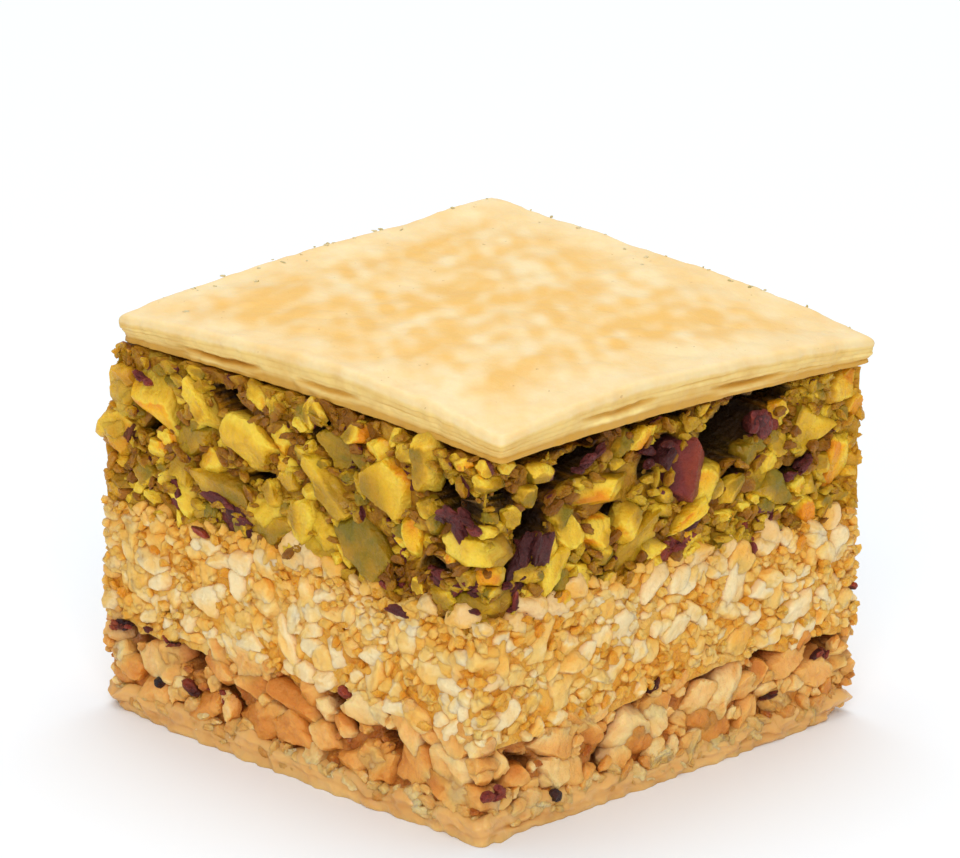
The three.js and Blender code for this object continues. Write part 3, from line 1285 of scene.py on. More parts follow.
@dataclass(frozen=True, kw_only=True)
class PastryFinish(Finish):
    """The finish of baked pastry leaves: pale dough, golden patches and tan cut edges.

    The golden patches have patches waves a metre, and drawn is how much they are drawn out from front
    to back. The toasted freckles, of freckled strength, and the fibres of the cut leaves have freckles
    waves a metre, and the dark specks have dots. specks sets how many of those there are.
    """

    pale: Colour
    golden: Colour
    toasted: Colour
    edge_light: Colour
    edge_dark: Colour
    speck: Colour = (150, 98, 40)
    patches: float = 340.0
    drawn: float = 2.2
    freckles: float = 300.0
    freckled: float = 0.28
    dots: float = 1500.0
    specks: float = 1.0
    gloss: Pair = (0.45, 0.65)
    glossy_parts: float = 220.0
    coat_rough: float = 0.2
    shine: float = 0.3
    relief: float = 0.3
    relief_depth: float = 0.0005
    grain: float = 480.0
    pits: float = 0.2
    glow: float = 0.12
    bleed: Triple = (1.0, 0.6, 0.25)
    bleed_depth: float = 0.001

    def colour(self, graph: Graph) -> Socket:
        """Adds the baked top and the cut edges of the leaves.

        Args:
            graph: The material's graph.

        Returns:
            The colour.
        """
        wide = graph.noise(self.patches, 4.0, 0.52, graph.drawn_out(self.drawn))
        bake = graph.math("ADD", graph.math("MULTIPLY", graph.value("bake"), 0.6), wide)
        top = graph.mix(graph.span(bake, 0.38, 1.12), linear(self.pale), linear(self.golden))
        toasted = {"Patch Colour": linear(self.toasted), "Scale": self.freckles, "Amount": self.freckled}
        freckled = graph.effect("uneven_colour", {"Colour": top, **toasted})
        dots = graph.math("GREATER_THAN", graph.noise(self.dots, 2.0), 0.765 - 0.02 * self.specks)
        speckled = graph.mix(graph.math("MULTIPLY", dots, 0.4), freckled, linear(self.speck))
        # The leaf value runs from the pale to the tan cut edge, and also carries painted shade in the gaps
        # between leaves and low on the lid's edge.
        leaf = graph.mix(graph.value("leaf"), linear(self.edge_light), linear(self.edge_dark))
        streaks = {"Patch Colour": linear(self.edge_dark), "Scale": self.freckles, "Amount": 0.5}
        fibres = graph.effect("uneven_colour", {"Colour": leaf, **streaks})
        return graph.mix(graph.value("edge"), speckled, fibres)


# Each finish's painted_shade_colour is painted shade for depths behind the cut sides, hollows and the flanks
# of pieces.
PISTACHIO = NutFinish(
    name="pistachio",
    tones=(
        (0.0, (242, 146, 10)),
        (0.14, (252, 188, 26)),
        (0.32, (255, 215, 68)),
        (0.5, (236, 185, 34)),
        (0.72, (178, 135, 10)),
        (0.88, (150, 119, 8)),
        (1.0, (130, 112, 10)),
    ),
    patch=(216, 150, 26),
    painted_shade_colour=(104, 58, 4),
    gloss=(0.25, 0.5),
    coat=0.12,
    relief=0.6,
    glow=0.3,
)
PISTACHIO_CRUMB = CrumbFinish(
    name="pistachio_crumb",
    tones=((0.0, (134, 80, 4)), (0.3, (156, 98, 5)), (0.6, (184, 127, 8)), (1.0, (224, 176, 34))),
    patch=(136, 82, 5),
    painted_shade_colour=(30, 13, 4),
    painted_shade_share=0.95,
    patch_amount=0.45,
    gloss=(0.25, 0.55),
    glow=0.3,
)
PISTACHIO_SKIN = NutFinish(
    name="pistachio_skin",
    tones=((0.0, (76, 30, 28)), (0.4, (102, 42, 38)), (0.8, (142, 58, 52)), (1.0, (156, 66, 44))),
    patch=(70, 28, 32),
    painted_shade_colour=(40, 14, 12),
    gloss=(0.35, 0.6),
    relief=0.9,
    grain=2400.0,
)
BLANCHED = NutFinish(
    name="blanched_nut",
    tones=((0.0, (244, 168, 58)), (0.35, (250, 187, 86)), (0.7, (255, 206, 122)), (1.0, (255, 225, 172))),
    patch=(250, 188, 84),
    painted_shade_colour=(236, 146, 36),
    painted_shade_share=0.85,
    glow=0.4,
    gloss=(0.3, 0.5),
    relief=0.5,
    bleed=(0.7, 0.6, 0.5),
    sharp=70.0,
)
BLANCHED_CRUMB = CrumbFinish(
    name="blanched_crumb",
    tones=((0.0, (234, 148, 32)), (0.4, (246, 170, 54)), (0.7, (253, 191, 84)), (1.0, (255, 209, 124))),
    patch=(238, 152, 36),
    painted_shade_colour=(222, 136, 30),
    painted_shade_share=0.5,
    bleed=(0.8, 0.6, 0.4),
    sharp=42.0,
)
TOASTED = NutFinish(
    name="toasted_nut",
    tones=((0.0, (212, 130, 46)), (0.3, (234, 158, 70)), (0.65, (247, 187, 104)), (1.0, (254, 214, 146))),
    patch=(238, 162, 74),
    painted_shade_colour=(150, 68, 10),
    painted_shade_share=0.75,
    skin=(116, 50, 18),
    glow=0.4,
    gloss=(0.3, 0.5),
    relief=0.5,
)
TOASTED_CRUMB = CrumbFinish(
    name="toasted_crumb",
    tones=((0.0, (172, 90, 22)), (0.4, (210, 128, 46)), (0.75, (230, 154, 68)), (1.0, (244, 182, 98))),
    patch=(146, 66, 12),
    painted_shade_colour=(104, 42, 6),
    painted_shade_share=0.7,
    patch_amount=0.5,
    coat=0.15,
)
SOAKED_CRUMB = NutFinish(
    name="soaked_crumb",
    tones=((0.0, (214, 142, 62)), (0.4, (230, 170, 88)), (0.75, (240, 194, 122)), (1.0, (248, 212, 146))),
    patch=(220, 152, 70),
    painted_shade_colour=(150, 88, 30),
    painted_shade_share=0.5,
    gloss=(0.25, 0.45),
    coat=0.2,
    relief=0.6,
    glow=0.5,
)
FLECK = NutFinish(
    name="dark_fleck",
    tones=((0.0, (26, 20, 26)), (0.5, (74, 30, 18)), (1.0, (170, 70, 44))),
    patch=(60, 34, 40),
    painted_shade_colour=(20, 12, 12),
)
DUST = NutFinish(
    name="lid_dust",
    tones=((0.0, (196, 176, 118)), (0.4, (226, 204, 150)), (0.7, (242, 220, 168)), (1.0, (250, 230, 182))),
    patch=(206, 190, 134),
    painted_shade_colour=(180, 160, 104),
    gloss=(0.5, 0.7),
)
CRISP_PASTRY = PastryFinish(
    name="crisp_pastry",
    pale=(245, 222, 171),
    golden=(239, 191, 104),
    toasted=(239, 186, 96),
    edge_light=(253, 224, 144),
    edge_dark=(208, 156, 60),
)
SOAKED_PASTRY = PastryFinish(
    name="soaked_pastry",
    pale=(240, 196, 122),
    golden=(224, 164, 84),
    toasted=(204, 134, 54),
    edge_light=(242, 194, 118),
    edge_dark=(200, 134, 56),
    gloss=(0.25, 0.45),
    coat=0.25,
    glow=0.35,
    specks=0.0,
)


# Pieces of the object


def add_object(name: str, data: bpy.types.ID) -> bpy.types.Object:
    """Adds an object that holds a mesh, a lamp or a camera to the scene.

    Args:
        name: The object's name.
        data: What it holds.

    Returns:
        The object.
    """
    made = bpy.data.objects.new(name, data)
    bpy.context.scene.collection.objects.link(made)
    return made


@dataclass
class Dresser:
    """Turns shapes into pieces that ride on the object's body and stand for its solids."""

    block: Block
    materials: dict[str, bpy.types.Material] = field(default_factory=dict)

    def piece(self, name: str, shape: Shape, finish: Finish, node: str, slot: str) -> None:
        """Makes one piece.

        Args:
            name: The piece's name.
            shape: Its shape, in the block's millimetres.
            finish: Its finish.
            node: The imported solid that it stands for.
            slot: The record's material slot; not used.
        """
        middle = np.array(self.block.middle)
        mesh = bpy.data.meshes.new(name)
        mesh.from_pydata((shape.points * MM + middle).tolist(), [], shape.faces.tolist())
        for label, values in shape.values.items():
            held = mesh.attributes.new(label, "FLOAT", "POINT")
            held.data.foreach_set("value", np.ascontiguousarray(values, np.float32))
        mesh.shade_smooth()
        if isinstance(finish, NutFinish):
            mesh.set_sharp_from_angle(angle=math.radians(finish.sharp))
        if finish.name not in self.materials:
            self.materials[finish.name] = finish.material()
        mesh.materials.append(self.materials[finish.name])
        made = add_object(name, mesh)
        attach(made, "root")
        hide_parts(node)
        LOG.info("%s: %d triangles", name, len(shape.faces))


@dataclass(frozen=True)
class SkinPatch(Spot):
    """A patch of torn, papery skin on a cut side, made of small flakes."""

    tone: float = 0.3
    flakes: int = 6

    def torn(self, rng: Draws, layer: Layer, heap: Heap) -> list[Nut]:
        """Tears the patch into flakes that lie on the heap's front.

        Args:
            rng: Where the flakes' places and sizes come from.
            layer: The layer that they lie in.
            heap: The heap that they lie on.

        Returns:
            The flakes.
        """
        turn = math.radians(self.turn)
        made = []
        for _ in range(self.flakes):
            offset = [rng.uniform(-0.42, 0.42) * reach for reach in (self.wide, self.tall)]
            across, up = turned(*offset, turn)
            size = rng.uniform(0.45, 0.8) * min(self.wide, 2.2 * self.tall)
            flake = Nut(
                self.side,
                self.along + across,
                self.height + up,
                size,
                rng.uniform(0.35, 0.75) * min(size, 1.3 * self.tall),
                tone=float(np.clip(rng.normal(self.tone, 0.15), 0.0, 1.0)),
                turn=self.turn + rng.normal(0.0, 30.0),
                deep=rng.uniform(0.5, 0.9),
                corners=int(rng.integers(4, 7)),
                facets=2,
                rough=0.14,
                form=Form.CRISP,
                points=110,
            )
            depth = max(heap.depth(flake.oval(layer, 0.8)), -0.1)
            made.append(replace(flake, inset=depth - 0.3 * rng.random()))
        return made


def dry(way: Array, height: Array) -> Array:
    """No syrup anywhere."""
    return np.zeros_like(way)


@dataclass
class NutLayer:
    """A layer of chopped nuts: a core with walls of crumbs, and the pieces that show on them.

    The layer lies between low and high, and its core lies that far behind the cut sides. Placed
    pieces come first, then pieces of the edge grade along the upright edges, the grades, and the
    fines, which have the crumbs' finish. The walls' crumbs are lumps of lump_sizes. tones, over and
    the grades are what Strewer takes, painted_shade_depths and flank_shade, which set the painted
    shade on pieces, what Chopper takes, and wall_rise and filled what CrumbWall takes.
    """

    block: Block
    node: str
    slot: str
    seed: int
    core: float
    low: Surface
    high: Surface
    finish: NutFinish
    crumb_finish: NutFinish
    tones: tuple[Triple, ...]
    placed: tuple[Nut, ...]
    edge: Grade
    grades: tuple[Grade, ...]
    fines: tuple[Grade, ...]
    lumps: int
    syrup_share: float
    painted_shade_depths: Pair
    hollows: tuple[Hollow, ...] = ()
    skins: tuple[SkinPatch, ...] = ()
    unpeeled: tuple[Nut, ...] = ()
    over: float = 0.2
    stain: float = 0.0
    flank_shade: float = 0.6
    lump_sizes: Pair = (0.4, 1.0)
    wall_rise: float = 0.0
    filled: float = 0.2
    map_step: float = 0.25
    wall_step: float = 0.3

    @property
    def layer(self) -> Layer:
        """The room that the layer takes in the block."""
        return Layer(self.block, self.low, self.high)

    def syrup(self, way: Array, height: Array) -> Array:
        """How much syrup has gathered at a place.

        Args:
            way: How far round the block.
            height: How far above the table.

        Returns:
            The share: most at the left and right corners, and stain just under the layer above.
        """
        to_left = np.minimum(np.abs(way), np.abs(self.block.around - way))
        to_right = np.abs(way - 2.0 * self.block.side)
        gathered = self.syrup_share * (1.0 - smoothstep(np.minimum(to_left, to_right), 0.5, 3.5))
        below = self.layer.at(self.high, way) - height
        seep = 1.6 + 1.2 * np.sin(way / 3.1) * np.cos(way / 1.7 + 0.8)
        return np.maximum(gathered, self.stain * (1.0 - smoothstep(below, 0.0, np.maximum(seep, 0.2))))

    def wall(self) -> Shape:
        """Makes the core with its walls of crumbs.

        Returns:
            The core's shape.
        """
        rng = np.random.default_rng(self.seed)
        made = CrumbWall(self.layer, self.wall_step, self.core + 0.15, self.wall_rise, self.filled)
        made.sprinkle(rng, self.lumps, self.lump_sizes)
        for hollow in self.hollows:
            made.dig(hollow)
        # Painted shade on the wall starts at the core's depth and is full 0.9 mm behind it.
        return made.shape(self.syrup, (self.core, self.core + 0.9))

    def build(self, dresser: Dresser) -> None:
        """Builds and dresses the layer's pieces.

        Args:
            dresser: What makes the pieces.
        """
        layer = self.layer
        rng = np.random.default_rng(self.seed + 1)
        heap = Heap(layer, self.map_step, self.core, self.filled)
        strewer = Strewer(layer, heap, rng, self.tones, self.over)
        for hollow in self.hollows:
            heap.lay(hollow.oval(layer), -1.0, 0.0)
        strewer.place(self.placed + self.unpeeled)
        large = list(self.placed) + strewer.wrap(self.edge)
        for grade in self.grades:
            large += strewer.strew(grade)
        flakes = [flake for patch in self.skins for flake in patch.torn(rng, layer, heap)]
        fine = [nut for grade in self.fines for nut in strewer.strew(grade)]
        draws = np.random.default_rng(self.seed + 2)
        chopper = Chopper(self.block, draws, self.syrup, self.painted_shade_depths, flank_shade=self.flank_shade)
        pieces = [
            ("crumb_wall", self.wall(), self.crumb_finish),
            ("chopped", chopper.cut_all(large), self.finish),
            ("fines", chopper.cut_all(fine), self.crumb_finish),
        ]
        if flakes:
            skinner = replace(chopper, rng=np.random.default_rng(self.seed + 3))
            pieces.append(("skins", skinner.cut_all(list(self.unpeeled) + flakes), PISTACHIO_SKIN))
        for label, shape, finish in pieces:
            dresser.piece(f"{self.slot}_{label}", shape, finish, self.node, self.slot)


# Makers of pieces on the cut sides that face -Y and +X, and on the two behind them.
left, right, far_right, far_left = (partial(Nut, side) for side in Side)


def turned_over(nuts: tuple[Nut, ...]) -> tuple[Nut, ...]:
    """Mirrors pieces of the near sides onto the far sides."""
    far = {Side.LEFT: Side.FAR_LEFT, Side.RIGHT: Side.FAR_RIGHT}
    return tuple(replace(n, side=far[n.side], along=-n.along, turn=-n.turn) for n in nuts)


LARGE_PISTACHIOS = (
    left(-14.0, 25.1, 7.4, 4.8, -24, tone=0.24, amber=0.5, form=Form.SOFT, inset=-0.3, facets=2, points=420),
    left(-18.2, 24.4, 3.2, 4.2, tone=0.22, form=Form.SOFT, inset=0.1, points=200),
    left(-18.4, 21.8, 4.2, 2.8, tone=0.24, turn=20, inset=-0.1, points=200),
    left(-9.3, 25.5, 5.2, 1.6, tone=0.35, turn=-42, inset=-0.1, form=Form.CRISP, points=260),
    left(-4.3, 24.0, 7.0, 3.8, tone=0.3, turn=-8, facets=2, inset=-0.1, points=420),
    left(-7.0, 19.8, 6.4, 3.3, tone=0.62, turn=-6, inset=-0.1, amber=0.0, points=420),
    left(-11.4, 20.4, 3.4, 3.8, tone=0.55, inset=0.2, points=300),
    left(-10.4, 22.6, 5.0, 3.2, tone=0.66, inset=0.2, turn=10, points=300),
    left(3.7, 22.2, 6.2, 3.8, tone=0.5, turn=-26, inset=0.0, amber=0.1, points=420),
    left(4.6, 25.2, 4.8, 3.0, tone=0.75, turn=-30, inset=0.5, points=300),
    left(9.9, 23.6, 6.6, 6.6, tone=0.36, turn=40, amber=0.9, inset=-0.3, form=Form.CRISP, points=620),
    left(12.3, 21.2, 2.4, 3.8, tone=0.35, turn=8, inset=0.2, points=220),
    left(7.7, 19.2, 8.0, 4.2, tone=0.9, turn=-28, amber=0.0, inset=-0.1, points=420),
    left(13.2, 26.2, 2.6, 4.6, tone=0.42, turn=4, inset=0.0, points=260),
    left(1.3, 19.4, 3.8, 4.4, tone=0.4, turn=16, inset=0.1, points=260),
    left(17.6, 21.4, 5.6, 3.6, tone=0.4, turn=-14, amber=0.0, inset=-0.2, form=Form.CRISP, points=420),
    left(-15.4, 18.8, 3.2, 2.4, tone=0.6, inset=0.2, points=200),
    right(-7.2, 23.2, 8.2, 2.8, tone=0.42, turn=4, amber=0.0, inset=-0.2, facets=2, points=420),
    right(-8.0, 20.2, 2.8, 3.2, tone=0.4, amber=0.0, corners=3, form=Form.CRISP, inset=-0.1, points=200),
    right(-11.2, 21.2, 2.6, 3.8, tone=0.42, turn=20, amber=0.0, inset=0.1, points=200),
    right(-4.9, 20.4, 2.4, 3.8, tone=0.42, turn=-10, amber=0.1, inset=0.1, points=200),
    right(-4.2, 18.3, 7.0, 2.6, tone=0.6, turn=38, inset=0.1, points=300),
    right(-12.8, 18.6, 5.0, 2.4, tone=0.55, turn=40, inset=0.2, points=260),
    right(2.6, 21.2, 4.0, 4.2, tone=0.4, turn=-30, inset=0.2, amber=0.1, form=Form.SOFT, points=300),
    right(1.6, 19.5, 5.4, 1.5, tone=0.4, turn=24, inset=0.0, points=220),
    right(14.0, 23.2, 5.8, 4.8, tone=0.62, turn=10, inset=0.0, points=420),
    right(17.0, 20.4, 3.6, 5.4, tone=0.2, turn=-6, amber=0.5, inset=0.1, points=300),
    right(8.6, 20.4, 3.6, 2.8, tone=0.4, inset=0.4, points=200),
)
LARGE_BLANCHED = (
    left(-8.4, 10.7, 3.2, 3.4, tone=0.9, inset=-0.1),
    left(-5.5, 9.8, 3.0, 2.6, tone=0.9),
    left(-4.7, 14.9, 2.8, 2.4, tone=0.95, inset=-0.1),
    left(-9.5, 14.9, 2.4, 2.2, tone=0.85),
    left(-16.8, 13.8, 2.4, 4.4, tone=0.75, turn=12),
    left(2.1, 8.3, 2.8, 2.0, tone=0.85, inset=-0.1),
    left(0.1, 10.2, 1.6, 4.4, tone=0.95, turn=28, form=Form.CRISP, inset=-0.1),
    right(6.4, 13.5, 3.6, 4.8, tone=0.95, turn=-8, form=Form.SOFT, inset=-0.1, points=260),
    right(10.4, 11.7, 3.2, 3.8, tone=0.85, turn=-20, points=260),
    right(13.2, 9.8, 4.4, 2.2, tone=0.95, turn=22, inset=-0.1, points=260),
    right(17.3, 12.8, 3.6, 3.0, tone=0.85, points=260),
    right(-5.5, 12.5, 3.2, 3.6, tone=0.85),
    right(2.4, 16.2, 3.2, 2.0, tone=0.8, turn=18),
    right(-17.6, 12.6, 4.6, 4.8, tone=0.55, facets=2, inset=0.0, form=Form.SOFT, points=300),
)
LARGE_TOASTED = (
    left(0.6, 5.5, 7.4, 2.8, tone=0.22, turn=-14, facets=2, inset=-0.1, points=360),
    left(3.7, 3.7, 3.8, 2.2, tone=0.65, turn=-10),
    left(-12.8, 5.6, 4.2, 2.8, tone=0.35, turn=20, facets=2, points=260),
    left(-7.4, 6.0, 3.6, 2.4, tone=0.3, turn=-20),
    left(16.6, 5.2, 5.0, 3.8, tone=0.9, turn=-20, form=Form.CRISP, inset=-0.1, points=360),
    left(18.2, 3.2, 3.4, 2.6, tone=0.7, form=Form.CRISP),
    left(12.8, 4.2, 4.2, 3.2, tone=0.15, points=260),
    left(8.6, 3.6, 3.8, 2.4, tone=0.5, turn=-16, points=220),
    left(-17.0, 3.6, 3.2, 2.0, tone=0.4),
    right(-7.7, 7.0, 5.6, 2.0, tone=0.6, turn=24, points=260),
    right(-4.5, 5.0, 4.2, 3.4, tone=0.98, turn=20, inset=-0.1, points=360),
    right(-12.3, 5.7, 5.4, 3.0, tone=0.6, turn=-4, facets=2, points=360),
    right(-15.6, 4.0, 3.2, 2.2, tone=0.35, form=Form.CRISP),
    right(-1.9, 6.0, 3.4, 2.2, tone=0.5, turn=30),
    right(2.6, 5.4, 4.6, 2.6, tone=0.5, turn=24, points=260),
    right(7.3, 4.9, 4.6, 2.2, tone=0.45, turn=12, points=260),
    right(12.2, 5.8, 5.0, 2.4, tone=0.45, turn=18, points=260),
)
UNPEELED_PISTACHIOS = (
    right(0.9, 22.8, 4.6, 5.4, tone=0.9, inset=-0.3, facets=2, rough=0.03, form=Form.CRISP, points=420),
    right(9.8, 24.3, 2.8, 2.4, tone=0.8, inset=0.5),
    left(12.0, 24.6, 3.0, 1.8, tone=0.2, turn=-20, inset=0.8),
    far_right(5.0, 22.4, 3.6, 3.0, tone=0.7, turn=20, inset=0.2, points=200),
    far_left(-4.0, 21.0, 3.2, 3.8, tone=0.6, inset=0.2, points=200),
)
# Each row: along, height, wide, tall, turn, tone and flakes.
PISTACHIO_SKINS = (
    *SkinPatch.on(
        Side.LEFT,
        (-5.2, 17.8, 6.4, 2.2, -14.0, 0.35, 11),
        (-16.8, 21.2, 4.6, 1.5, 36.0, 0.4, 6),
        (-12.6, 18.2, 3.4, 1.8, -20.0, 0.5, 6),
        (16.8, 23.4, 5.4, 1.5, -20.0, 0.25, 8),
        (8.8, 17.3, 7.2, 0.9, -20.0, 0.6, 7),
        (6.0, 23.0, 1.0, 6.0, -8.0, 0.2, 6),
        (10.0, 20.6, 5.2, 0.9, -34.0, 0.45, 6),
        (15.6, 18.4, 4.6, 1.2, -8.0, 0.5, 6),
        (12.6, 16.2, 3.4, 1.6, 16.0, 0.4, 6),
        (18.6, 17.6, 2.2, 3.0, 0.0, 0.3, 5),
        (-15.6, 26.2, 4.6, 0.9, -12.0, 0.8, 5),
    ),
    *SkinPatch.on(
        Side.RIGHT,
        (-1.0, 16.6, 5.8, 1.7, 38.0, 0.85, 9),
        (1.0, 18.4, 3.0, 1.2, 40.0, 0.2, 5),
        (-14.6, 20.4, 4.0, 1.9, 50.0, 0.15, 8),
        (-16.4, 17.6, 2.4, 3.2, 20.0, 0.35, 6),
        (13.6, 20.4, 6.6, 1.1, 10.0, 0.25, 7),
        (-9.6, 25.9, 4.2, 1.0, 14.0, 0.3, 6),
        (8.8, 24.8, 3.0, 1.4, 0.0, 0.75, 5),
        (7.6, 16.8, 1.8, 3.4, -14.0, 1.0, 6),
        (-2.6, 24.8, 2.4, 1.6, 10.0, 0.2, 4),
    ),
    *SkinPatch.on(
        Side.FAR_RIGHT,
        (-14.0, 22.0, 4.4, 1.6, 20.0, 0.4, 7),
        (-6.0, 18.4, 5.4, 1.4, -24.0, 0.3, 8),
        (1.5, 24.0, 3.2, 1.6, 40.0, 0.5, 5),
        (7.5, 20.0, 4.8, 1.5, -10.0, 0.4, 7),
        (14.5, 17.8, 4.0, 1.4, 30.0, 0.7, 6),
    ),
    *SkinPatch.on(
        Side.FAR_LEFT,
        (-15.0, 18.8, 4.2, 1.6, -30.0, 0.6, 7),
        (-8.5, 23.8, 3.8, 1.5, 24.0, 0.3, 6),
        (-0.5, 19.4, 5.6, 1.3, 12.0, 0.4, 8),
        (6.8, 17.4, 3.6, 1.5, -36.0, 0.2, 6),
        (13.0, 21.8, 4.4, 1.6, 18.0, 0.5, 7),
    ),
)
# Each row: along, height, wide, tall, turn, tone and flakes.
TOASTED_SKINS = (
    *SkinPatch.on(
        Side.LEFT,
        (-17.4, 6.6, 2.6, 0.7, 10.0, 0.9, 5),
        (-13.6, 6.9, 3.2, 0.7, -10.0, 0.5, 5),
        (-7.2, 3.9, 2.6, 0.7, -20.0, 0.9, 4),
    ),
    *SkinPatch.on(
        Side.RIGHT,
        (-18.6, 3.6, 2.2, 0.9, 0.0, 0.9, 4),
        (16.8, 5.4, 2.2, 0.6, 20.0, 0.6, 4),
    ),
    *SkinPatch.on(
        Side.FAR_RIGHT,
        (8.0, 5.8, 3.0, 0.8, 10.0, 0.4, 5),
    ),
    *SkinPatch.on(
        Side.FAR_LEFT,
        (-8.0, 6.2, 3.0, 0.8, -16.0, 0.5, 5),
    ),
)
FLECKS = (
    left(-13.3, 3.4, 0.9, 0.9, tone=0.0, inset=-0.3),
    left(-10.1, 3.7, 2.2, 0.8, tone=0.75, turn=-20, inset=-0.1, rough=0.14),
    left(6.1, 7.8, 1.4, 0.7, tone=0.95, turn=-24, inset=-0.15, rough=0.14),
    left(-17.6, 6.8, 1.5, 0.9, tone=0.55, inset=0.0, rough=0.16),
    left(-12.0, 6.6, 1.6, 0.5, tone=0.6, turn=20, inset=0.0, rough=0.16),
    left(-9.0, 16.0, 2.0, 0.6, tone=0.9, turn=-8, inset=-0.1, rough=0.14),
    right(-12.4, 1.9, 1.1, 1.0, tone=0.05, inset=-0.3),
    right(-2.2, 7.5, 1.6, 0.5, tone=0.5, turn=40, inset=0.0, rough=0.16),
    right(10.2, 3.6, 2.0, 0.5, tone=0.6, turn=10, inset=0.0, rough=0.16),
    right(15.4, 5.6, 1.5, 0.6, tone=0.5, turn=20, inset=0.0, rough=0.16),
    right(19.2, 10.0, 0.8, 0.6, tone=0.8, inset=0.0),
    far_right(-9.0, 4.6, 1.6, 0.7, tone=0.4, inset=-0.1, rough=0.16),
    far_right(3.5, 6.2, 1.2, 1.1, tone=0.05, inset=-0.2),
    far_right(12.0, 12.6, 1.3, 0.6, tone=0.9, inset=-0.1, rough=0.16),
    far_left(-11.0, 5.6, 1.7, 0.7, tone=0.5, turn=20, inset=-0.1, rough=0.16),
    far_left(2.0, 9.8, 1.3, 0.6, tone=0.9, inset=-0.1, rough=0.16),
    far_left(9.5, 3.2, 1.2, 1.1, tone=0.05, inset=-0.2),
)
# These hollows are dug into the crumb walls and painted dark inside and round their rims as shade; the long
# thin ones under the lid on the right side make a dark line beneath it, partly real depth and partly painted
# shade.
# Each row: along, height, wide, tall, turn and depth.
PISTACHIO_HOLLOWS = (
    *Hollow.on(
        Side.RIGHT,
        (5.6, 24.8, 8.4, 4.0, 26.0, 5.0),
        (9.4, 26.6, 5.4, 2.0, 10.0, 4.0),
        (-7.2, 21.4, 4.4, 1.6, 0.0, 2.4),
        (-11.0, 25.4, 7.4, 1.9, 14.0, 3.0),
        (-14.4, 22.4, 3.0, 3.2, 20.0, 2.4),
        (-18.0, 24.4, 3.6, 1.7, 6.0, 2.0),
        (-1.8, 24.8, 4.2, 1.9, 20.0, 3.0),
        (-17.4, 19.6, 2.4, 2.2, 0.0, 2.0),
        (6.2, 21.4, 2.6, 1.3, 20.0, 2.0),
        (12.2, 20.8, 4.2, 1.2, 10.0, 2.0),
        (-12.0, 27.3, 10.0, 0.9, 2.0, 2.5),
        (-2.5, 27.4, 8.0, 0.7, 0.0, 2.0),
    ),
    *Hollow.on(
        Side.LEFT,
        (16.2, 24.4, 6.4, 2.4, -16.0, 3.0),
        (14.4, 19.4, 2.6, 1.3, 10.0, 2.0),
        (4.0, 25.4, 4.6, 1.9, -14.0, 3.0),
        (-6.4, 26.4, 4.4, 1.1, -16.0, 2.4),
        (-3.4, 21.6, 3.2, 0.9, 0.0, 2.0),
        (-15.0, 22.6, 2.6, 1.0, 20.0, 2.0),
    ),
    *Hollow.on(
        Side.FAR_RIGHT,
        (-8.0, 25.2, 5.0, 2.2, 10.0, 3.0),
        (11.0, 24.6, 4.0, 1.8, -12.0, 2.4),
    ),
    *Hollow.on(
        Side.FAR_LEFT,
        (-12.0, 25.0, 4.4, 1.8, 8.0, 2.6),
        (4.0, 25.4, 5.4, 1.9, -8.0, 3.0),
    ),
)
# These hollows are dug into the crumb walls and painted dark inside and round their rims as shade.
# Each row: along, height, wide, tall, turn and depth.
TOASTED_HOLLOWS = (
    *Hollow.on(
        Side.LEFT,
        (-16.6, 6.4, 5.0, 2.0, 10.0, 1.4),
        (-10.6, 6.8, 4.6, 1.7, -16.0, 1.4),
        (-5.6, 4.2, 4.6, 1.2, -34.0, 1.2),
        (5.6, 6.4, 3.4, 1.2, -20.0, 1.2),
        (10.8, 5.6, 3.0, 1.0, -10.0, 1.2),
    ),
    *Hollow.on(
        Side.RIGHT,
        (-18.2, 3.8, 2.8, 1.7, 0.0, 1.2),
        (-15.6, 5.7, 3.6, 1.4, -20.0, 1.4),
        (-7.0, 3.8, 4.0, 1.3, 20.0, 1.2),
        (-4.2, 7.2, 3.8, 1.3, 24.0, 1.4),
        (4.6, 6.8, 6.0, 1.4, 14.0, 1.4),
        (10.4, 7.2, 4.4, 1.3, 16.0, 1.4),
        (15.6, 6.4, 4.0, 1.4, 10.0, 1.4),
    ),
    *Hollow.on(
        Side.FAR_RIGHT,
        (-12.0, 6.6, 4.4, 1.0, 12.0, 1.4),
        (3.0, 5.4, 3.6, 0.9, -20.0, 1.2),
        (13.0, 6.8, 4.0, 1.0, 10.0, 1.4),
    ),
    *Hollow.on(
        Side.FAR_LEFT,
        (-14.0, 5.6, 3.8, 0.9, 18.0, 1.2),
        (-2.0, 6.8, 4.4, 1.0, -12.0, 1.4),
        (12.0, 6.0, 3.6, 0.9, 16.0, 1.2),
    ),
)


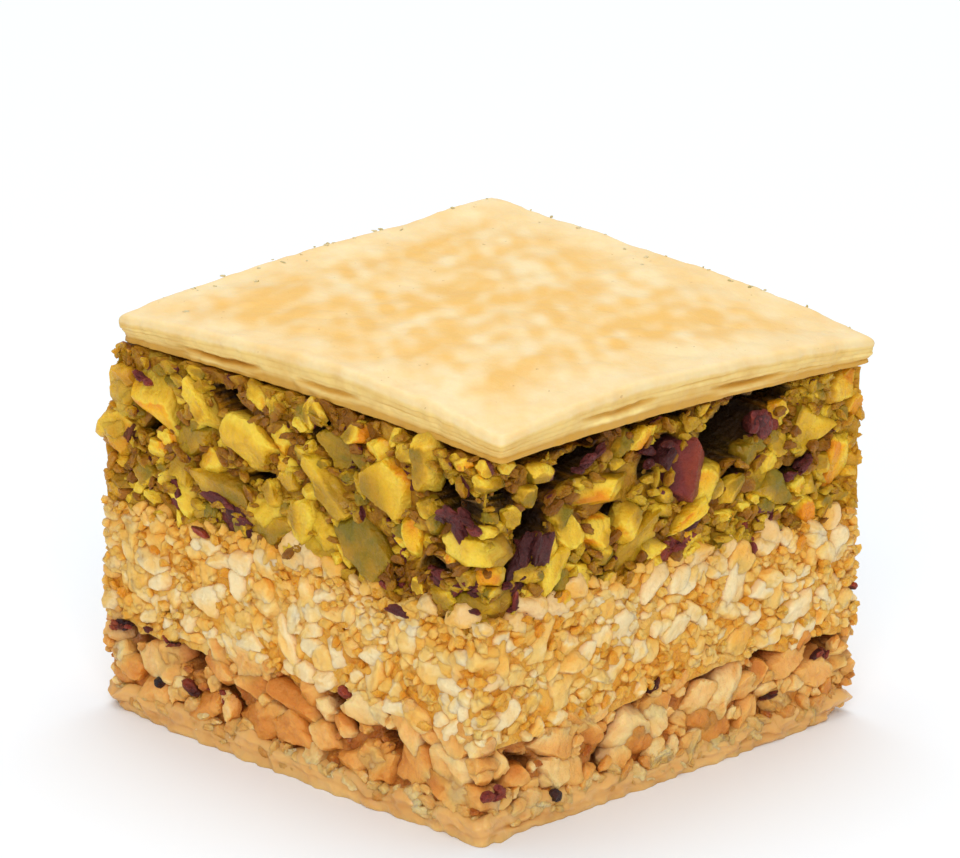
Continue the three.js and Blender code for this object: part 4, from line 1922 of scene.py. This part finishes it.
def nut_layers(block: Block) -> list[NutLayer]:
    """Sets out the three layers of nuts, from the bottom up.

    Args:
        block: The block that they fit.

    Returns:
        The layers.
    """
    settled = {"corners": (3, 6), "settled": True}
    flakes = {"corners": (3, 6), "skin": 0.3}
    crisp = {**flakes, "stretch": 2.8, "form": Form.CRISP}
    toasted = NutLayer(
        block,
        node="toasted_nut_layer",
        slot="toasted_nuts",
        seed=310,
        core=1.0,
        low=block.base_top,
        high=block.toasted_top,
        finish=TOASTED,
        crumb_finish=TOASTED_CRUMB,
        tones=((0.35, 0.25, 0.1), (0.4, 0.5, 0.12), (0.25, 0.85, 0.1)),
        placed=LARGE_TOASTED + turned_over(LARGE_TOASTED),
        edge=Grade((1.4, 3.0), 0, 0.0, 150),
        grades=(
            Grade((3.4, 5.2), 400, 0.65, 260, (-0.1, 0.25), corners=(4, 7), skin=0.1),
            Grade((1.7, 2.8), 600, 0.5, 130, (0.0, 0.4), corners=(4, 7), skin=0.08),
            Grade((0.9, 1.5), 900, 0.3, 60, (0.1, 0.6), rough=0.08, blend=0.5),
        ),
        fines=(Grade((0.4, 0.9), 1800, 0.6, 26, (0.6, 1.0), rough=0.14, **settled),),
        syrup_share=0.15,
        hollows=TOASTED_HOLLOWS,
        skins=TOASTED_SKINS,
        painted_shade_depths=(0.4, 1.7),
        lumps=900,
    )
    blanched = NutLayer(
        block,
        node="blanched_nut_layer",
        slot="blanched_nuts",
        seed=520,
        core=0.6,
        low=block.toasted_top,
        high=block.blanched_top,
        finish=BLANCHED,
        crumb_finish=BLANCHED_CRUMB,
        tones=((0.3, 0.3, 0.12), (0.4, 0.6, 0.12), (0.3, 0.92, 0.06)),
        placed=LARGE_BLANCHED + turned_over(LARGE_BLANCHED),
        edge=Grade((1.0, 2.4), 0, 0.0, 110, form=Form.SOFT),
        grades=(
            Grade((2.0, 3.4), 170, 0.4, 180, (-0.1, 0.15), form=Form.SOFT, paler=0.25),
            Grade((1.3, 2.1), 460, 0.3, 100, (0.0, 0.25), form=Form.SOFT, paler=0.08, blend=0.2),
            Grade((0.7, 1.3), 2600, 0.2, 44, (0.1, 0.4), rough=0.1, corners=(3, 6), paler=-0.1, blend=0.6),
        ),
        fines=(Grade((0.5, 1.0), 2600, 0.6, 26, (0.3, 0.6), rough=0.14, **settled, blend=0.8),),
        syrup_share=0.15,
        stain=0.45,
        over=0.6,
        painted_shade_depths=(0.2, 1.7),
        flank_shade=0.2,
        lumps=6000,
        lump_sizes=(0.25, 0.7),
    )
    pistachio = NutLayer(
        block,
        node="pistachio_layer",
        slot="pistachios",
        seed=730,
        core=1.15,
        low=block.blanched_top,
        high=block.pistachio_top,
        finish=PISTACHIO,
        crumb_finish=PISTACHIO_CRUMB,
        tones=((0.07, 0.1, 0.04), (0.25, 0.36, 0.08), (0.43, 0.64, 0.08), (0.25, 0.86, 0.06)),
        placed=LARGE_PISTACHIOS + turned_over(LARGE_PISTACHIOS),
        edge=Grade((0.9, 2.8), 0, 0.0, 150, (0.0, 0.6), skin=0.2),
        grades=(
            Grade((3.0, 4.4), 60, 0.7, 260, (0.1, 0.4), skin=0.45),
            Grade((1.6, 2.7), 400, 0.5, 150, (0.1, 0.5), skin=0.4),
            Grade((1.0, 1.7), 700, 0.4, 70, (0.2, 0.6), rough=0.1, **flakes, stretch=2.4, blend=0.5),
        ),
        fines=(
            Grade((0.8, 1.7), 900, 0.3, 70, (0.2, 0.7), rough=0.12, **crisp, paler=0.1, blend=0.7),
            Grade((0.5, 1.2), 2800, 0.45, 44, (0.35, 1.1), rough=0.14, **crisp, settled=True, blend=0.8),
            Grade((0.3, 0.7), 3000, 0.5, 24, (0.6, 1.0), rough=0.16, **settled, blend=0.8),
        ),
        syrup_share=0.8,
        hollows=PISTACHIO_HOLLOWS,
        skins=PISTACHIO_SKINS,
        unpeeled=UNPEELED_PISTACHIOS,
        over=-0.85,
        painted_shade_depths=(0.9, 2.6),
        lumps=3200,
        wall_rise=-0.35,
        filled=0.75,
    )
    return [toasted, blanched, pistachio]


@dataclass
class PastrySkin:
    """The loops of a pastry's skin, with what is cut edge and which tone a leaf has round each."""

    loops: list[Array] = field(default_factory=list)
    edge: list[Array] = field(default_factory=list)
    leaf: list[Array] = field(default_factory=list)

    def add(self, ring: Array, height: Array, edge: float, leaf: Array) -> None:
        """Adds one loop.

        Args:
            ring: Its plan.
            height: Its height at each place.
            edge: How far it is part of the cut edge.
            leaf: The leaf's tone at each place.
        """
        self.loops.append(np.column_stack([ring, height]))
        self.edge.append(np.full(len(ring), edge))
        self.leaf.append(leaf)

    def closed(self, bake: Callable[[Array], Array]) -> Shape:
        """Closes the skin, browned by bake, into one shape.

        Args:
            bake: How much each place is browned.

        Returns:
            The shape, with edge, leaf and bake values.
        """
        loops = np.array(self.loops)
        leaf = np.clip(np.array(self.leaf), 0.0, 1.0)
        return closed_stack(loops, {"edge": np.array(self.edge), "leaf": leaf, "bake": bake(loops)})


@dataclass
class LeafStack:
    """A pastry of thin leaves: ragged leaf edges round the sides, closed above and below.

    ragged is how far leaf edges go in and out, groove how deep the gaps between leaves are, gape how
    much deeper they are where they gape, lumps how far the edge bulges, lump_sizes the widths of its
    bulges, and rim the round of its top edge.
    """

    block: Block
    seed: int
    leaves: int
    rows: int
    rings: int
    ragged: float
    groove: float
    gape: float
    lumps: float
    rim: float
    lump_sizes: Pair = (1.6, 0.7)
    step: float = 0.3
    inner_rings: tuple[float, ...] = (0.75, 0.55, 0.38, 0.24, 0.14, 0.08, 0.04, 0.015)

    def outline(self, way: Array) -> Array:
        """The plan of the pastry at each place round it."""
        return self.block.plan(way)

    def low(self, x: Array, y: Array) -> Array:
        """The height of the pastry's underside."""
        return self.block.table(x, y)

    def high(self, x: Array, y: Array) -> Array:
        """The height of the pastry's top."""
        return self.block.base_top(x, y)

    def reshape(self, way: Array, share: Array, inset: Array, tone: Array) -> tuple[Array, Array]:
        """Changes the edge's insets and tones where the pastry has something of its own."""
        return inset, tone

    def bake(self, points: Array) -> Array:
        """How much a place is browned, from 0 to 1."""
        return np.full(points.shape[:-1], 0.5)

    def edge(self, rng: Draws, way: Array, share: Array) -> tuple[Array, Array]:
        """Shapes the ragged edge.

        Args:
            rng: Where its unevenness comes from.
            way: Places round the pastry.
            share: Shares of its thickness, from 0 at the bottom, as a column.

        Returns:
            How far in each place lies, and its tone, 1 being darkest.
        """
        wave = partial(round_wave, way, self.block.around, rng)
        bounds = np.stack([(k + 1.0 + 0.3 * wave(3, 12)) / self.leaves for k in range(self.leaves - 1)])
        gapes = np.stack([smoothstep(wave(4, 18), 0.1, 0.7) for _ in bounds])
        insets = self.ragged * np.stack(
            [0.5 + 0.5 * wave(5, 50) + 0.4 * np.clip(wave(45, 80), 0.0, None) for _ in range(self.leaves)]
        )
        tones = np.stack([0.35 + 0.25 * wave(2, 16) for _ in range(self.leaves)])
        leaf = (share[None, :, :] > bounds[:, None, :]).sum(0)
        inset = np.clip(np.take_along_axis(insets, leaf, 0), 0.0, None)
        tone = np.take_along_axis(tones, leaf, 0)
        gap = np.abs(share[None, :, :] - bounds[:, None, :])
        grooves = np.exp(-((gap * self.leaves / 0.16) ** 2))
        depth = (self.groove + self.gape * gapes[:, None, :]) * grooves
        # Painted shade in the gaps between leaves, darker where they gape.
        groove_shade = (0.15 + 0.5 * gapes[:, None, :] * grooves).max(0) * grooves.max(0)
        return inset + depth.max(0), tone + groove_shade

    def shape(self) -> Shape:
        """Makes the closed pastry.

        Returns:
            The shape, with edge, leaf and bake values.
        """
        rng = np.random.default_rng(self.seed)
        half = self.block.half
        way = np.arange(round(self.block.around / self.step)) * self.step
        plan = self.outline(way)
        share = np.linspace(0.0, 1.0, self.rows)[:, None]
        inset, tone = self.reshape(way[None, :], share, *self.edge(rng, way, share))
        thick = self.high(*plan.T) - self.low(*plan.T)
        spots = np.stack([np.broadcast_to(plan[:, i], inset.shape) for i in (0, 1)] + [share * thick], -1)
        wide, small = (ripples(spots, rng, size, 14) for size in self.lump_sizes)
        inset = inset + self.lumps * (0.6 * wide + 0.4 * small)
        skin = PastrySkin()
        foot = plan * (1.0 - inset[0] / half)[:, None]
        for inward in self.inner_rings:
            ring = foot * (1.0 - inward)
            skin.add(ring, self.low(*ring.T), 1.0, tone[0])
        for row in range(self.rows):
            ring = plan * (1.0 - inset[row] / half)[:, None]
            bottom = self.low(*ring.T)
            top = self.high(*ring.T) - self.rim
            edge = 1.0 - 0.8 * smoothstep(share[row], 0.86, 1.0)
            skin.add(ring, bottom + (top - bottom) * share[row], edge, tone[row])
        brim = plan * (1.0 - inset[-1] / half)[:, None]
        for number in range(1, self.rings):
            away = half * (number / self.rings) ** 1.5
            ring = brim * (1.0 - away / half)
            round_off = max(1.0 - away / self.rim, 0.0)
            drop = self.rim * (1.0 - math.sqrt(1.0 - round_off * round_off))
            skin.add(ring, self.high(*ring.T) - drop, 0.2 * round_off, tone[-1])
        return skin.closed(self.bake)


@dataclass
class BottomPastry(LeafStack):
    """The soaked pastry that the piece stands on."""

    seed: int = 41
    leaves: int = 2
    rows: int = 18
    rings: int = 14
    ragged: float = 0.3
    groove: float = 0.03
    gape: float = 0.18
    lumps: float = 0.3
    rim: float = 0.5
    lump_sizes: Pair = (2.6, 1.0)
    uneven: float = 0.45
    grades: tuple[Grade, ...] = (
        Grade((1.2, 2.2), 160, 0.2, 90, (-0.05, 0.1), stretch=3.0, form=Form.SOFT),
        Grade((0.6, 1.2), 320, 0.15, 50, (0.0, 0.2), stretch=2.4, form=Form.SOFT, rough=0.1),
    )

    def outline(self, way: Array) -> Array:
        """The plan of the pastry, with rounder upright edges than the cut sides."""
        return replace(self.block, corner=0.9).plan(way)

    def high(self, x: Array, y: Array) -> Array:
        """The pastry's top, pressed by the nuts above it.

        Args:
            x: Places along x.
            y: Places along y.

        Returns:
            The heights.
        """
        flat = np.stack([x, y, np.zeros_like(x)], -1)
        pressed = ripples(flat, np.random.default_rng(self.seed + 1), 3.4, 12)
        return self.block.base_top(x, y) + self.uneven * np.clip(pressed, -1.2, 0.6)

    def reshape(self, way: Array, share: Array, inset: Array, tone: Array) -> tuple[Array, Array]:
        """Wears the edge back towards the foot, most at the outer corners.

        Args:
            way: Places round the pastry.
            share: Shares of its thickness, from 0 at the bottom.
            inset: How far in each place lies.
            tone: Its tone, 1 being darkest.

        Returns:
            The new insets and tones.
        """
        _, along = self.block.split(way)
        corner = self.block.at_outer_corner(along)
        front = np.abs(way - self.block.side) < self.block.half
        squeezed = np.where(way < self.block.side, 0.5, 0.2) * np.cos(math.pi * along / self.block.side)
        worn = (0.1 + np.where(front, -0.1, 1.5) * corner - squeezed) * (1.0 - share) ** 1.5
        return inset * np.where(front, 1.0 - corner, 1.0) + worn, tone

    def crumbs(self) -> Shape:
        """Strews crumbs that have stuck to the soaked edge.

        Returns:
            All of them as one shape.
        """
        rng = np.random.default_rng(self.seed + 2)
        layer = Layer(self.block, self.block.table, self.block.base_top)
        heap = Heap(layer, 0.25, 0.3)
        strewer = Strewer(layer, heap, rng, ((1.0, 0.5, 0.25),), under=1.1)
        stuck = [nut for grade in self.grades for nut in strewer.strew(grade)]
        return Chopper(self.block, rng, dry).cut_all(stuck)

    def build(self, dresser: Dresser) -> None:
        """Builds and dresses the bottom pastry."""
        dresser.piece("soaked_bottom_leaves", self.shape(), SOAKED_PASTRY, "bottom_pastry", "soaked_pastry")
        dresser.piece("soaked_bottom_crumbs", self.crumbs(), SOAKED_CRUMB, "bottom_pastry", "soaked_pastry")


@dataclass(frozen=True)
class Peel:
    """A stretch of the lid's edge where a lower leaf has come away from those above it.

    way is its middle round the lid, length its whole length, share the height of the gap in the
    lid's thickness, deep the gap's depth, and lip how far the leaf below stands out.
    """

    way: float
    length: float
    share: float
    deep: float
    lip: float


@dataclass
class PastryLid(LeafStack):
    """The crisp lid, warped and blistered by baking.

    corner_pull is how far its corners are drawn in within the pulled length. band is the width of the
    smooth raised band along its edges, and drawn how much its patches are drawn out from front to
    back. corners is its plan, from the left corner round by the front.
    """

    seed: int = 67
    leaves: int = 5
    rows: int = 40
    rings: int = 56
    ragged: float = 0.14
    groove: float = 0.015
    gape: float = 0.07
    lumps: float = 0.08
    rim: float = 0.5
    corner_pull: float = 0.12
    pulled: float = 1.3
    large_blisters: int = 50
    small_blisters: int = 340
    band: float = 1.9
    drawn: float = 2.2
    corners: tuple[Pair, ...] = ((-19.0, -18.9), (20.8, -19.3), (20.4, 20.3), (-20.4, 21.4))
    peels: tuple[Peel, ...] = (
        Peel(11.0, 9.0, 0.34, 0.6, 0.06),
        Peel(22.5, 7.0, 0.36, 0.3, 0.03),
        Peel(52.0, 8.0, 0.5, 0.3, 0.05),
        Peel(66.0, 9.0, 0.35, 0.35, 0.08),
        Peel(95.0, 10.0, 0.4, 0.6, 0.2),
        Peel(112.0, 7.0, 0.6, 0.4, 0.1),
        Peel(138.0, 9.0, 0.3, 0.6, 0.2),
        Peel(151.0, 6.0, 0.55, 0.4, 0.1),
    )
    blisters: Array = field(init=False)

    def __post_init__(self) -> None:
        """Draws the blisters: place, radius and rise."""
        rng = np.random.default_rng(self.seed + 1)
        made = []
        for count, radii, rises in (
            (self.large_blisters, (1.6, 3.6), (0.03, 0.06)),
            (self.small_blisters, (0.5, 1.5), (0.05, 0.1)),
        ):
            radius = rng.uniform(*radii, count)
            place = rng.uniform(-19.0, 19.0, (count, 2))
            made.append(np.column_stack([place, radius, radius * rng.uniform(*rises, count)]))
        self.blisters = np.concatenate(made)

    def outline(self, way: Array) -> Array:
        """The plan of the lid, a square with corners that baking has pulled.

        Args:
            way: Places round the lid.

        Returns:
            The plan.
        """
        sides = way / self.block.side
        side = np.floor(sides).astype(int) % SIDES
        share = (sides - np.floor(sides))[:, None]
        corners = np.array(self.corners)
        plan = corners[side] * (1.0 - share) + corners[(side + 1) % SIDES] * share
        near = np.clip(1.0 - self.block.side * np.minimum(share, 1.0 - share) / self.pulled, 0.0, 1.0)
        return plan * (1.0 - self.corner_pull * near**2 / self.block.half)

    def low(self, x: Array, y: Array) -> Array:
        """The lid's underside."""
        return self.block.pistachio_top(x, y)

    def reshape(self, way: Array, share: Array, inset: Array, tone: Array) -> tuple[Array, Array]:
        """Sets lower leaves back a little and opens the peels, with painted shade in each peel's gap, a
        paler leaf below it, and painted shade darkening the lower part of the edge.

        Args:
            way: Places round the pastry.
            share: Shares of its thickness, from 0 at the bottom.
            inset: How far in each place lies.
            tone: Its tone, 1 being darkest.

        Returns:
            The new insets and tones.
        """
        inset = inset + 0.3 * smoothstep(1.0 - share, 0.1, 0.9)
        for peel in self.peels:
            along = np.clip(np.abs(way - peel.way) / (peel.length / 2.0), 0.0, 1.0)
            strength = np.cos(0.5 * math.pi * along) ** 0.7
            gap = np.exp(-(((share - peel.share - 0.1 * along) / 0.08) ** 2)) * strength
            leaf = np.exp(-(((share - peel.share + 0.17) / 0.1) ** 2)) * strength
            inset = inset + peel.deep * gap - peel.lip * leaf
            # Painted shade in the peel's gap; the leaf below it is made paler.
            tone = tone + 0.9 * gap - 0.8 * leaf
        # Painted shade, darker towards the bottom of the lid's edge.
        return inset, tone + 1.0 * smoothstep(1.0 - share, 0.55, 0.95)

    def swelling(self, x: Array, y: Array) -> Array:
        """How far blisters lift the top leaf.

        Args:
            x: Places along x.
            y: Places along y.

        Returns:
            The lifts.
        """
        total = np.zeros_like(x)
        for at_x, at_y, radius, rise in self.blisters:
            out = ((x - at_x) ** 2 + (y - at_y) ** 2) / (radius * radius)
            total = np.maximum(total, rise * np.clip(1.0 - out, 0.0, None) ** 1.5)
        return total * smoothstep(self.block.inside(x, y), 0.6, self.band)

    def high(self, x: Array, y: Array) -> Array:
        """The lid's blistered top, with a smooth raised band along its edges.

        Args:
            x: Places along x.
            y: Places along y.

        Returns:
            The heights.
        """
        rng = np.random.default_rng(self.seed + 2)
        flat = np.stack([x, y, np.zeros_like(x)], -1)
        waves = 0.06 * ripples(flat, rng, 7.0) + 0.03 * ripples(flat, rng, 2.4)
        band = 0.12 * (1.0 - smoothstep(self.block.inside(x, y), 0.8, self.band + 0.6))
        return self.low(x, y) + self.block.lid_thickness(x, y) + self.swelling(x, y) + waves + band

    def bake(self, points: Array) -> Array:
        """Browned in patches, paler in the band along the edges.

        Args:
            points: Places on the lid.

        Returns:
            How much each place is browned.
        """
        rng = np.random.default_rng(self.seed + 3)
        across, depth = points[..., 0] + points[..., 1], points[..., 0] - points[..., 1]
        flat = np.stack([across, depth / self.drawn, np.zeros_like(across)], -1) / math.sqrt(2.0)
        inner = smoothstep(self.block.inside(points[..., 0], points[..., 1]), 1.5, 7.0)
        patches = 0.6 + 0.35 * ripples(flat, rng, 5.0, 14) + 0.4 * ripples(flat, rng, 1.6, 18)
        return np.clip(patches, 0.0, 1.0) * (0.1 + 0.9 * inner)

    def build(self, dresser: Dresser) -> None:
        """Builds and dresses the lid."""
        dresser.piece("crisp_lid_leaves", self.shape(), CRISP_PASTRY, "top_pastry", "crisp_pastry")


@dataclass
class LidDust:
    """Fine pale dust and flakes that cling along the lid's far edges."""

    lid: PastryLid
    seed: int = 91
    count: int = 45

    def shape(self) -> Shape:
        """Strews the dust.

        Returns:
            All of it as one shape.
        """
        rng = np.random.default_rng(self.seed)
        rays, faces = ball(30)
        made = []
        for _ in range(self.count):
            way = rng.uniform(1.95, 4.05) * self.lid.block.side % self.lid.block.around
            plan = self.lid.outline(np.array([way]))[0]
            plan = plan * (1.0 - rng.exponential(0.045) - 0.008)
            size = rng.uniform(0.06, 0.18)
            stretch = rng.uniform(0.6, 1.6, 3) * np.array([1.0, 1.0, 0.6])
            bumps = 1.0 + 0.2 * rng.normal(0.0, 1.0, len(rays))[:, None]
            top = self.lid.high(plan[:1], plan[1:])[0]
            points = rays * bumps * stretch * size + np.array([plan[0], plan[1], top])
            tone = np.full(len(rays), rng.uniform(0.0, 1.0))
            none = np.zeros_like(tone)
            made.append(Shape(points, faces, nut_values(tone, np.ones_like(tone), none, none)))
        return Shape.joined(made)

    def build(self, dresser: Dresser) -> None:
        """Builds and dresses the dust."""
        dresser.piece("lid_dust", self.shape(), DUST, "top_pastry", "pistachios")


@dataclass
class Flecks:
    """Dark and red flecks among the toasted and the blanched nuts."""

    block: Block
    seed: int = 88

    def build(self, dresser: Dresser) -> None:
        """Builds and dresses the flecks."""
        chopper = Chopper(self.block, np.random.default_rng(self.seed), dry)
        dresser.piece("dark_flecks", chopper.cut_all(FLECKS), FLECK, "toasted_nut_layer", "toasted_nuts")


# The studio


@dataclass(frozen=True)
class Lamp:
    """A soft rectangular lamp that looks at the object."""

    name: str
    azimuth: float
    elevation: float
    distance: float
    size: float
    watts: float


@dataclass(frozen=True)
class Studio:
    """The floor, the lamps and the camera, at the angle from which the piece was pictured.

    Angles are in degrees, distance and aim in millimetres, and lens and floor_size in the camera's
    millimetres and in metres. sky is the strength of the white surroundings.
    """

    block: Block
    azimuth: float = 44.6
    elevation: float = 17.24
    roll: float = 0.8
    distance: float = 383.9
    aim: Triple = (-0.12, -0.17, 21.67)
    lens: float = 196.9
    floor_size: float = 6.0
    floor_colour: tuple[float, float, float, float] = (0.91, 0.955, 1.0, 1.0)
    sky: float = 0.54
    lamps: tuple[Lamp, ...] = (
        Lamp("key", 44.0, 32.0, 1.4, 0.6, 7.9),
        Lamp("top", 224.0, 74.0, 1.3, 1.1, 8.5),
    )

    @staticmethod
    def direction(azimuth: float, elevation: float) -> Vector:
        """The way from the object towards a place seen at an azimuth and an elevation in degrees."""
        a, e = math.radians(azimuth), math.radians(elevation)
        return Vector((math.sin(a) * math.cos(e), -math.cos(a) * math.cos(e), math.sin(e)))

    def set_up(self, name: str, data: bpy.types.ID, way: Vector, distance: float) -> bpy.types.Object:
        """Sets up a lamp or a camera that looks at the object.

        Args:
            name: Its name.
            data: The lamp or the camera.
            way: The way towards it from the object.
            distance: How far away it is, in metres.

        Returns:
            The object that holds it.
        """
        made = add_object(name, data)
        made.location = self.block.middle + Vector(self.aim) * MM + way * distance
        made.rotation_mode = "QUATERNION"
        made.rotation_quaternion = (-way).to_track_quat("-Z", "Y")
        return made

    def camera(self) -> None:
        """Makes the camera."""
        data = bpy.data.cameras.new("camera")
        data.lens = self.lens
        data.clip_start, data.clip_end = 0.01, 20.0
        way = self.direction(self.azimuth, self.elevation)
        made = self.set_up("camera", data, way, self.distance * MM)
        made.rotation_quaternion @= Matrix.Rotation(math.radians(self.roll), 4, "Z").to_quaternion()
        bpy.context.scene.camera = made

    def floor(self) -> None:
        """Makes the pale floor."""
        half = self.floor_size / 2.0
        corners = [(-half, -half, 0.0), (half, -half, 0.0), (half, half, 0.0), (-half, half, 0.0)]
        mesh = bpy.data.meshes.new("floor")
        mesh.from_pydata(corners, [], [(0, 1, 2, 3)])
        paint, graph = new_material("floor_paint")
        finish = {"Base Color": self.floor_colour, "Roughness": 0.8}
        surface = graph.add("ShaderNodeBsdfPrincipled", finish)
        graph.add("ShaderNodeOutputMaterial", {"Surface": surface.outputs[0]})
        mesh.materials.append(paint)
        add_object("floor", mesh)

    def light(self) -> None:
        """Makes the white surroundings and the lamps."""
        world = bpy.data.worlds.new("surroundings")
        world.use_nodes = True
        graph = Graph(world.node_tree)
        sky = graph.add("ShaderNodeBackground", {"Color": (1.0, 1.0, 1.0, 1.0), "Strength": self.sky})
        graph.add("ShaderNodeOutputWorld", {"Surface": sky.outputs[0]})
        bpy.context.scene.world = world
        for lamp in self.lamps:
            data = bpy.data.lights.new(lamp.name, "AREA")
            data.shape = "SQUARE"
            data.size = lamp.size
            data.energy = lamp.watts
            self.set_up(lamp.name, data, self.direction(lamp.azimuth, lamp.elevation), lamp.distance)

    def build(self) -> None:
        """Builds the whole studio."""
        self.floor()
        self.light()
        self.camera()
        bpy.context.scene.view_settings.view_transform = "Standard"


def main() -> None:
    """Builds the piece from the bottom up, and the studio round it."""
    logging.basicConfig(level=logging.INFO, format="%(message)s")
    block = Block()
    dresser = Dresser(block)
    build_uneven_colour()
    build_crumb_relief()
    build_uneven_gloss()
    Studio(block).build()
    BottomPastry(block).build(dresser)
    for layer in nut_layers(block):
        layer.build(dresser)
    Flecks(block).build(dresser)
    lid = PastryLid(block)
    lid.build(dresser)
    LidDust(lid).build(dresser)


if __name__ == "__main__":
    main()
